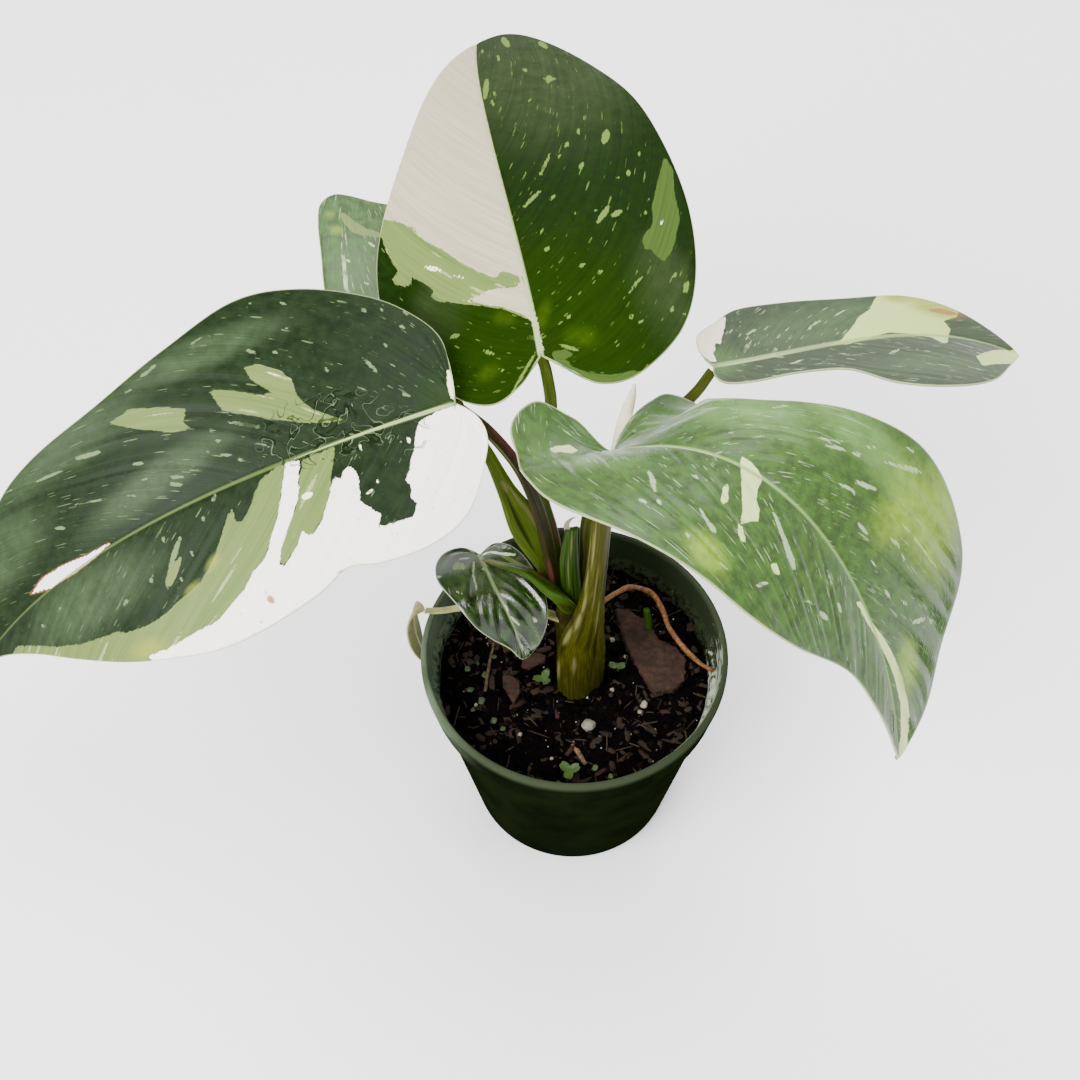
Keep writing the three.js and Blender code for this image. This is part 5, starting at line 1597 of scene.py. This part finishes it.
class PHILO_OT_pot(bpy.types.Operator):
    """Makes the nursery pot"""
    bl_idname = "philo.pot"
    bl_label = "Pot"

    def execute(self, context):
        settings = context.scene.philo_pot
        height, rim, collar, foot = POT["height"], POT["rim_radius"], POT["collar_radius"], POT["collar_foot"]
        wall, floor, edge, base = POT["wall"], POT["floor"], POT["edge"], POT["base_radius"]
        lip_top = height - edge
        rim_foot = height - POT["rim_depth"]
        profile = [
            [0, 0], [base - 6, 0], [base - edge, 0], [base, edge],
            [POT["wall_top_radius"], POT["wall_top"]], [collar - 0.3, foot - 0.4],
            [collar, rim_foot - 0.5], [rim, rim_foot], [rim, lip_top], [rim - edge, height],
            [collar - wall + 0.6, height], [collar - wall, lip_top - 0.4],
            [collar - wall - 0.3, foot + POT["step"]], [inner_radius(foot) + 1, foot + 1],
            [inner_radius(foot), foot], [inner_radius(floor + 1), floor + 1],
            [inner_radius(floor) - 1, floor], [0, floor],
        ]
        bm = bmesh.new()
        points = rounded(profile, 0.7)
        verts = [bm.verts.new((r * MM, 0, z * MM)) for r, z in points]
        for a, b in zip(verts, verts[1:]):
            bm.edges.new((a, b))
        bmesh.ops.spin(
            bm, geom=bm.verts[:] + bm.edges[:], cent=(0, 0, 0), axis=(0, 0, 1), dvec=(0, 0, 0),
            angle=2 * math.pi, steps=settings.segments, use_merge=True,
        )
        close_up(bm)
        pot = piece_of(bm, "pot_shell", [pot_material(settings)])
        holes = bmesh.new()
        for i in range(DRAIN["count"]):
            angle = i / DRAIN["count"] * 2 * math.pi
            at = Vector((math.cos(angle), math.sin(angle), 0)) * DRAIN["ring"] * MM
            bmesh.ops.create_cone(
                holes, cap_ends=True, segments=40, depth=4 * floor * MM, matrix=Matrix.Translation(at),
                radius1=DRAIN["radius"] * MM, radius2=DRAIN["radius"] * MM,
            )
        cutter = piece_of(holes, "cutter", [])
        cut = pot.modifiers.new("holes", "BOOLEAN")
        cut.object = cutter
        cut.operation = "DIFFERENCE"
        bake(pot)
        remove(cutter)
        inside = pot.data.attributes.new("inside", "FLOAT", "POINT")
        for vert, value in zip(pot.data.vertices, inside.data):
            z = vert.co.z / MM
            border = collar - wall * 0.5 if z > foot else inner_radius(z) + wall * 0.5
            value.value = float(math.hypot(vert.co.x, vert.co.y) / MM < border and z > floor * 0.5)
        pot.data.shade_smooth()
        pot.data.set_sharp_from_angle(angle=math.radians(50))
        hand_over(pot, "pot", "pot")
        return {"FINISHED"}


def soil_height(x, y):
    """The soil's surface without its lumps."""
    waves = math.sin(0.33 * x + 1) * math.cos(0.29 * y) + 0.7 * math.sin(0.21 * x - 0.38 * y + 2)
    way_out = math.hypot(x, y) / inner_radius(SOIL["top"])
    return SOIL["top"] + SOIL["bump"] * waves - SOIL["dip"] * way_out ** 4


def crumbly(x, y):
    """The soil's surface with its lumps."""
    spot = Vector((x, y, 0))
    lumps = noise.fractal(spot * LUMPS["scale"], 0.9, 2.1, 5)
    clods = noise.voronoi(spot * CLODS["scale"])[0][0]
    return soil_height(x, y) + LUMPS["height"] * lumps + CLODS["height"] * (0.5 - clods)


def disc_point(a, b):
    """A point of the square from -1 to 1 laid on the round disc."""
    if a == 0 and b == 0:
        return 0.0, 0.0
    if abs(a) > abs(b):
        radius, angle = a, math.pi / 4 * b / a
    else:
        radius, angle = b, math.pi / 2 - math.pi / 4 * a / b
    return radius * math.cos(angle), radius * math.sin(angle)


def drawn(rng, value):
    """A number as it is, or one drawn from a range."""
    return rng.uniform(*value) if isinstance(value, tuple) else value


def scatter(name, kind, material, places, rng):
    """Many small copies of a shape in one piece, each with a tone of its own."""
    whole = bmesh.new()
    for place in places:
        size, length = drawn(rng, kind["size"]), drawn(rng, kind.get("long", 1.0))
        part = crumb_shape(size, rng, kind.get("squash", 0.75), length)
        tone = rng.random()
        set_values(part, "tone", [tone] * len(part.verts))
        add_to(whole, part, place)
    hand_over(piece_of(whole, name, [material]), kind["slot"])


def crumb_shape(size, rng, squash, long):
    """A rounded lump with a few dozen faces."""
    bm = bmesh.new()
    bmesh.ops.create_cube(bm, size=1.0)
    bmesh.ops.subdivide_edges(bm, edges=bm.edges[:], cuts=1, use_grid_fill=True)
    for vert in bm.verts:
        ball = vert.co.normalized() * 0.5
        vert.co = vert.co.lerp(ball, 0.75) * (0.8 + 0.45 * rng.random())
        vert.co.x *= size * long * MM
        vert.co.y *= size * MM
        vert.co.z *= size * squash * MM
    return bm


def lay(x, y, rng, sink, tilt=0.5):
    """The place of a loose grain on the soil, turned at random."""
    at = Vector((x, y, crumbly(x, y) - sink)) * MM
    turn = Matrix.Rotation(rng.uniform(0, 2 * math.pi), 4, "Z")
    lean, tip = (Matrix.Rotation(rng.uniform(-tilt, tilt), 4, axis) for axis in "XY")
    return Matrix.Translation(at) @ turn @ (lean @ tip)


def on_soil(rng):
    """A spot on the soil, clear of the stalks."""
    angle = rng.uniform(0, 2 * math.pi)
    radius = math.sqrt(rng.uniform((SOIL["clear"] / SOIL["reach"]) ** 2, 1)) * SOIL["reach"]
    return radius * math.cos(angle), radius * math.sin(angle)


def heaped(rng):
    """The place of a crumb that leans against the foot of the thickest stalk."""
    x, y, half_width, half_depth = FOOT
    angle = rng.uniform(0, 2 * math.pi)
    gap = rng.uniform(-0.4, 2.6)
    at_x, at_y = x + (half_width + gap) * math.cos(angle), y + (half_depth + gap) * math.sin(angle)
    return lay(at_x, at_y, rng, sink=0.45 * gap - 1.5)


class PHILO_OT_soil(bpy.types.Operator):
    """Makes the soil and what lies loose on it"""
    bl_idname = "philo.soil"
    bl_label = "Soil"

    def execute(self, context):
        settings = context.scene.philo_soil
        rng = random.Random(settings.seed)
        bm = bmesh.new()
        bmesh.ops.create_grid(bm, x_segments=170, y_segments=170, size=1.0)
        reach = inner_radius(SOIL["top"]) - 0.15
        for vert in bm.verts:
            x, y = disc_point(vert.co.x, vert.co.y)
            x, y = x * reach, y * reach
            vert.co = Vector((x, y, crumbly(x, y))) * MM
        rim = [edge for edge in bm.edges if edge.is_boundary]
        skirt = bmesh.ops.extrude_edge_only(bm, edges=rim)["geom"]
        lower = [item for item in skirt if isinstance(item, bmesh.types.BMVert)]
        foot = (inner_radius(SOIL["bottom"]) - 1.5) / reach
        for vert in lower:
            vert.co = Vector((vert.co.x * foot, vert.co.y * foot, SOIL["bottom"] * MM))
        bmesh.ops.holes_fill(bm, edges=[edge for edge in bm.edges if edge.is_boundary], sides=0)
        bmesh.ops.recalc_face_normals(bm, faces=bm.faces)
        set_values(bm, "tone", [0.3] * len(bm.verts))
        soil = soil_material(settings)
        bed = piece_of(bm, "soil_bed", [soil])
        hand_over(bed, "soil", "soil")

        for name, kind in GRAINS.items():
            count = settings.crumbs if name == "soil_crumbs" else kind.get("count", 0)
            sink, tilt = kind["sink"], kind["tilt"]
            if "seen" in kind:
                spots = [[*on_soil(rng), rng.uniform(*kind["sizes"])] for _ in range(count)]
                spots = kind["seen"] + spots
                places = [lay(x, y, rng, sink, tilt) @ Matrix.Scale(size, 4) for x, y, size in spots]
            else:
                places = [lay(*on_soil(rng), rng, sink, tilt) for _ in range(count)]
            if name == "soil_crumbs":
                places += [heaped(rng) for _ in range(SOIL["heaped"])]
            material = wood_material(kind["finish"]) if "finish" in kind else soil
            scatter(name, kind, material, places, rng)
        return {"FINISHED"}


def slab(outline, thickness):
    """A flat slab over an outline, from z = 0 up."""
    bm = bmesh.new()
    base = bm.faces.new([bm.verts.new((x * MM, y * MM, 0)) for x, y in outline])
    raised = bmesh.ops.extrude_face_region(bm, geom=[base])["geom"]
    top = [item for item in raised if isinstance(item, bmesh.types.BMVert)]
    bmesh.ops.translate(bm, verts=top, vec=(0, 0, thickness * MM))
    bmesh.ops.recalc_face_normals(bm, faces=bm.faces)
    return bm


def rough_slab(name, bm, place, voxel, amount, node, material):
    """A slab remeshed in even steps, softened, and roughened by ridges."""
    piece = piece_of(bm, name, [])
    piece.data.transform(place)
    remesh = piece.modifiers.new("even", "REMESH")
    remesh.mode = "VOXEL"
    remesh.voxel_size = voxel * MM
    bake(piece)
    piece.data.materials.clear()
    piece.data.materials.append(material)
    work = bmesh.new()
    work.from_mesh(piece.data)
    bmesh.ops.smooth_vert(
        work, verts=work.verts, factor=0.5, use_axis_x=True, use_axis_y=True, use_axis_z=True
    )
    work.normal_update()
    moves = []
    for vert in work.verts:
        spot = vert.co / MM
        ridges = noise.fractal(Vector((spot.x * 0.25, spot.y * 0.6, spot.z * 0.7)), 0.8, 2.1, 5)
        moves.append(vert.co + vert.normal * ridges * amount * MM)
    for vert, move in zip(work.verts, moves):
        vert.co = move
    set_values(work, "tone", [0.2] * len(work.verts))
    work.to_mesh(piece.data)
    work.free()
    piece.data.shade_smooth()
    hand_over(piece, "bark", node)


class PHILO_OT_bark(bpy.types.Operator):
    """Makes the big piece of bark and the chips"""
    bl_idname = "philo.bark"
    bl_label = "Bark"

    def execute(self, context):
        bark = wood_material("bark")
        lifted = Matrix.Translation(Vector((0, 0, BARK_FOOT)) * MM)
        rough_slab("bark_piece", slab(BARK, BARK_THICKNESS), lifted, 0.4, 0.7, "bark", bark)
        for name, chip in CHIPS.items():
            length, width, thickness = chip["size"]
            outline = []
            for i in range(CHIP_CORNERS):
                angle = i / CHIP_CORNERS * 2 * math.pi
                radius = 0.5 * (0.85 + 0.15 * math.sin(i * 2.4 + chip["turn"]))
                outline.append([length * radius * math.cos(angle), width * radius * math.sin(angle)])
            at = Vector(chip["at"]) - Vector((0, 0, thickness / 2))
            place = Matrix.Translation(at * MM) @ Matrix.Rotation(math.radians(chip["turn"]), 4, "Z")
            rough_slab("bark_" + name, slab(outline, thickness), place, 0.3, 0.4, name, bark)
        return {"FINISHED"}


def sprout_leaf(radius):
    """A small cupped leaf, notched at its tip, which grows outward from the origin."""
    bm = bmesh.new()
    bmesh.ops.create_uvsphere(bm, u_segments=20, v_segments=12, radius=1.0)
    for vert in bm.verts:
        a, b, c = vert.co
        notch = 1 - 0.25 * math.exp(-((a - 1) / 0.25) ** 2 - (b / 0.3) ** 2)
        cup = 0.22 * (a * a + b * b)
        vert.co = Vector(((a * notch + 0.95) * radius, b * radius * 0.75, (c * 0.16 + cup) * radius)) * MM
    return bm


class PHILO_OT_seedlings(bpy.types.Operator):
    """Makes the small sprouts"""
    bl_idname = "philo.seedlings"
    bl_label = "Seedlings"

    def execute(self, context):
        green = wood_material("seedling")
        lift = Matrix.Rotation(-0.3, 4, "Y")
        for name, plant in SEEDLINGS.items():
            x, y = plant["at"]
            ground = soil_height(x, y)
            top = ground + plant["height"]
            stations = [
                [x, y, ground - 3, 0.5, 0.5], [x + 0.4, y, ground + 2, 0.45, 0.45], [x, y, top, 0.4, 0.4],
            ]
            bm, _, _ = sweep({"face": [0, 1, 0], "round": True, "stations": stations}, 12, 16)
            cap_ends(bm)
            for turn in plant["turns"]:
                spin = Matrix.Rotation(math.radians(turn), 4, "Z")
                place = Matrix.Translation(Vector((x, y, top - 0.4)) * MM) @ spin @ lift
                add_to(bm, sprout_leaf(plant["leaf"]), place)
            set_values(bm, "tone", [0.5] * len(bm.verts))
            hand_over(piece_of(bm, "sprout_" + name, [green]), "seedling", "seedling_" + name)
        return {"FINISHED"}


# Each soft light: where it stands and where it looks, in metres, its sides, and its share of the key power.
LIGHTS = {
    "light_front": ((-0.8, -0.75, 1.2), (0, 0, 0.15), (1.0, 1.0), 1.0),
    "light_behind": ((0.05, 1.0, 1.25), (0, 0.02, 0.15), (1.0, 0.4), 0.3),
    "light_above": ((0.5, -0.1, 1.6), (0, 0, 0.15), (0.9, 0.9), 0.5),
}

# The camera stands where the photograph was taken from: millimetres and degrees.
CAMERA = {"at": (-10.886, -257.725, 506.893), "down": 54.25, "roll": -0.745, "lens": 49.455}


class PHILO_OT_stage(bpy.types.Operator):
    """Makes the floor, the lights and the camera"""
    bl_idname = "philo.stage"
    bl_label = "Stage"

    def execute(self, context):
        settings = context.scene.philo_stage
        scene = context.scene
        bm = bmesh.new()
        bmesh.ops.create_grid(bm, x_segments=1, y_segments=1, size=4.0)
        material, w, shader = new_material("floor")
        cloud = w.noise(w.place(), 3.0)
        pale, duller = opaque(settings.floor_color), (0.86, 0.86, 0.86, 1.0)
        w.feed(shader.inputs["Base Color"], w.mix(w.span(cloud, 0.3, 0.7, 0.0, 0.3), pale, duller))
        shader.inputs["Roughness"].default_value = 0.9
        shader.inputs["Specular IOR Level"].default_value = 0.1
        floor = piece_of(bm, "floor", [material])

        world = bpy.data.worlds.new("pale")
        world.use_nodes = True
        background = world.node_tree.nodes["Background"]
        background.inputs["Color"].default_value = (1.0, 1.0, 1.0, 1.0)
        background.inputs["Strength"].default_value = settings.sky
        scene.world = world

        for name, (at, aim, size, share) in LIGHTS.items():
            data = bpy.data.lights.new(name, "AREA")
            data.shape = "RECTANGLE"
            data.size, data.size_y = size
            data.energy = settings.key_power * share
            light = bpy.data.objects.new(name, data)
            light.location = at
            light.rotation_euler = (Vector(aim) - Vector(at)).to_track_quat("-Z", "Y").to_euler()
            scene.collection.objects.link(light)

        down, roll = math.radians(CAMERA["down"]), math.radians(CAMERA["roll"])
        forward = Vector((0, math.cos(down), -math.sin(down)))
        level, upward = Vector((1, 0, 0)), Vector((0, math.sin(down), math.cos(down)))
        right = math.cos(roll) * level + math.sin(roll) * upward
        above = math.cos(roll) * upward - math.sin(roll) * level
        data = bpy.data.cameras.new("camera")
        data.sensor_width = 36
        data.lens = CAMERA["lens"]
        data.clip_start = 0.01
        camera = bpy.data.objects.new("camera", data)
        turned = Matrix((right, above, -forward)).transposed().to_4x4()
        camera.matrix_world = Matrix.Translation(Vector(CAMERA["at"]) * MM) @ turned
        scene.collection.objects.link(camera)
        scene.camera = camera
        return {"FINISHED"}


class PHILO_PT_panel(bpy.types.Panel):
    """Lists the plant's pieces and their settings"""
    bl_label = "Potted philodendron"
    bl_idname = "PHILO_PT_panel"
    bl_space_type = "VIEW_3D"
    bl_region_type = "UI"
    bl_category = "Philodendron"

    def draw(self, context):
        scene = context.scene
        for operator in OPERATORS:
            self.layout.operator(operator.bl_idname)
        for settings in (scene.philo_leaf, scene.philo_pot, scene.philo_soil, scene.philo_stage):
            box = self.layout.box()
            for key in settings.__annotations__:
                box.prop(settings, key)


SETTINGS = {
    "philo_leaf": PhiloLeafSettings, "philo_pot": PhiloPotSettings, "philo_soil": PhiloSoilSettings,
    "philo_stage": PhiloStageSettings,
}
OPERATORS = (
    PHILO_OT_stage, PHILO_OT_pot, PHILO_OT_soil, PHILO_OT_leaves, PHILO_OT_stalks, PHILO_OT_spear,
    PHILO_OT_litter, PHILO_OT_bark, PHILO_OT_seedlings,
)


def register():
    for cls in (*SETTINGS.values(), *OPERATORS, PHILO_PT_panel):
        bpy.utils.register_class(cls)
    for name, cls in SETTINGS.items():
        setattr(bpy.types.Scene, name, PointerProperty(type=cls))


def unregister():
    for name in SETTINGS:
        delattr(bpy.types.Scene, name)
    for cls in (PHILO_PT_panel, *reversed(OPERATORS), *SETTINGS.values()):
        bpy.utils.unregister_class(cls)


def main():
    """Builds every piece in turn."""
    register()
    bpy.ops.philo.stage()
    bpy.ops.philo.pot()
    bpy.ops.philo.soil()
    bpy.ops.philo.leaves()
    bpy.ops.philo.stalks()
    bpy.ops.philo.spear()
    bpy.ops.philo.litter()
    bpy.ops.philo.bark()
    bpy.ops.philo.seedlings()


if __name__ == "__main__":
    main()
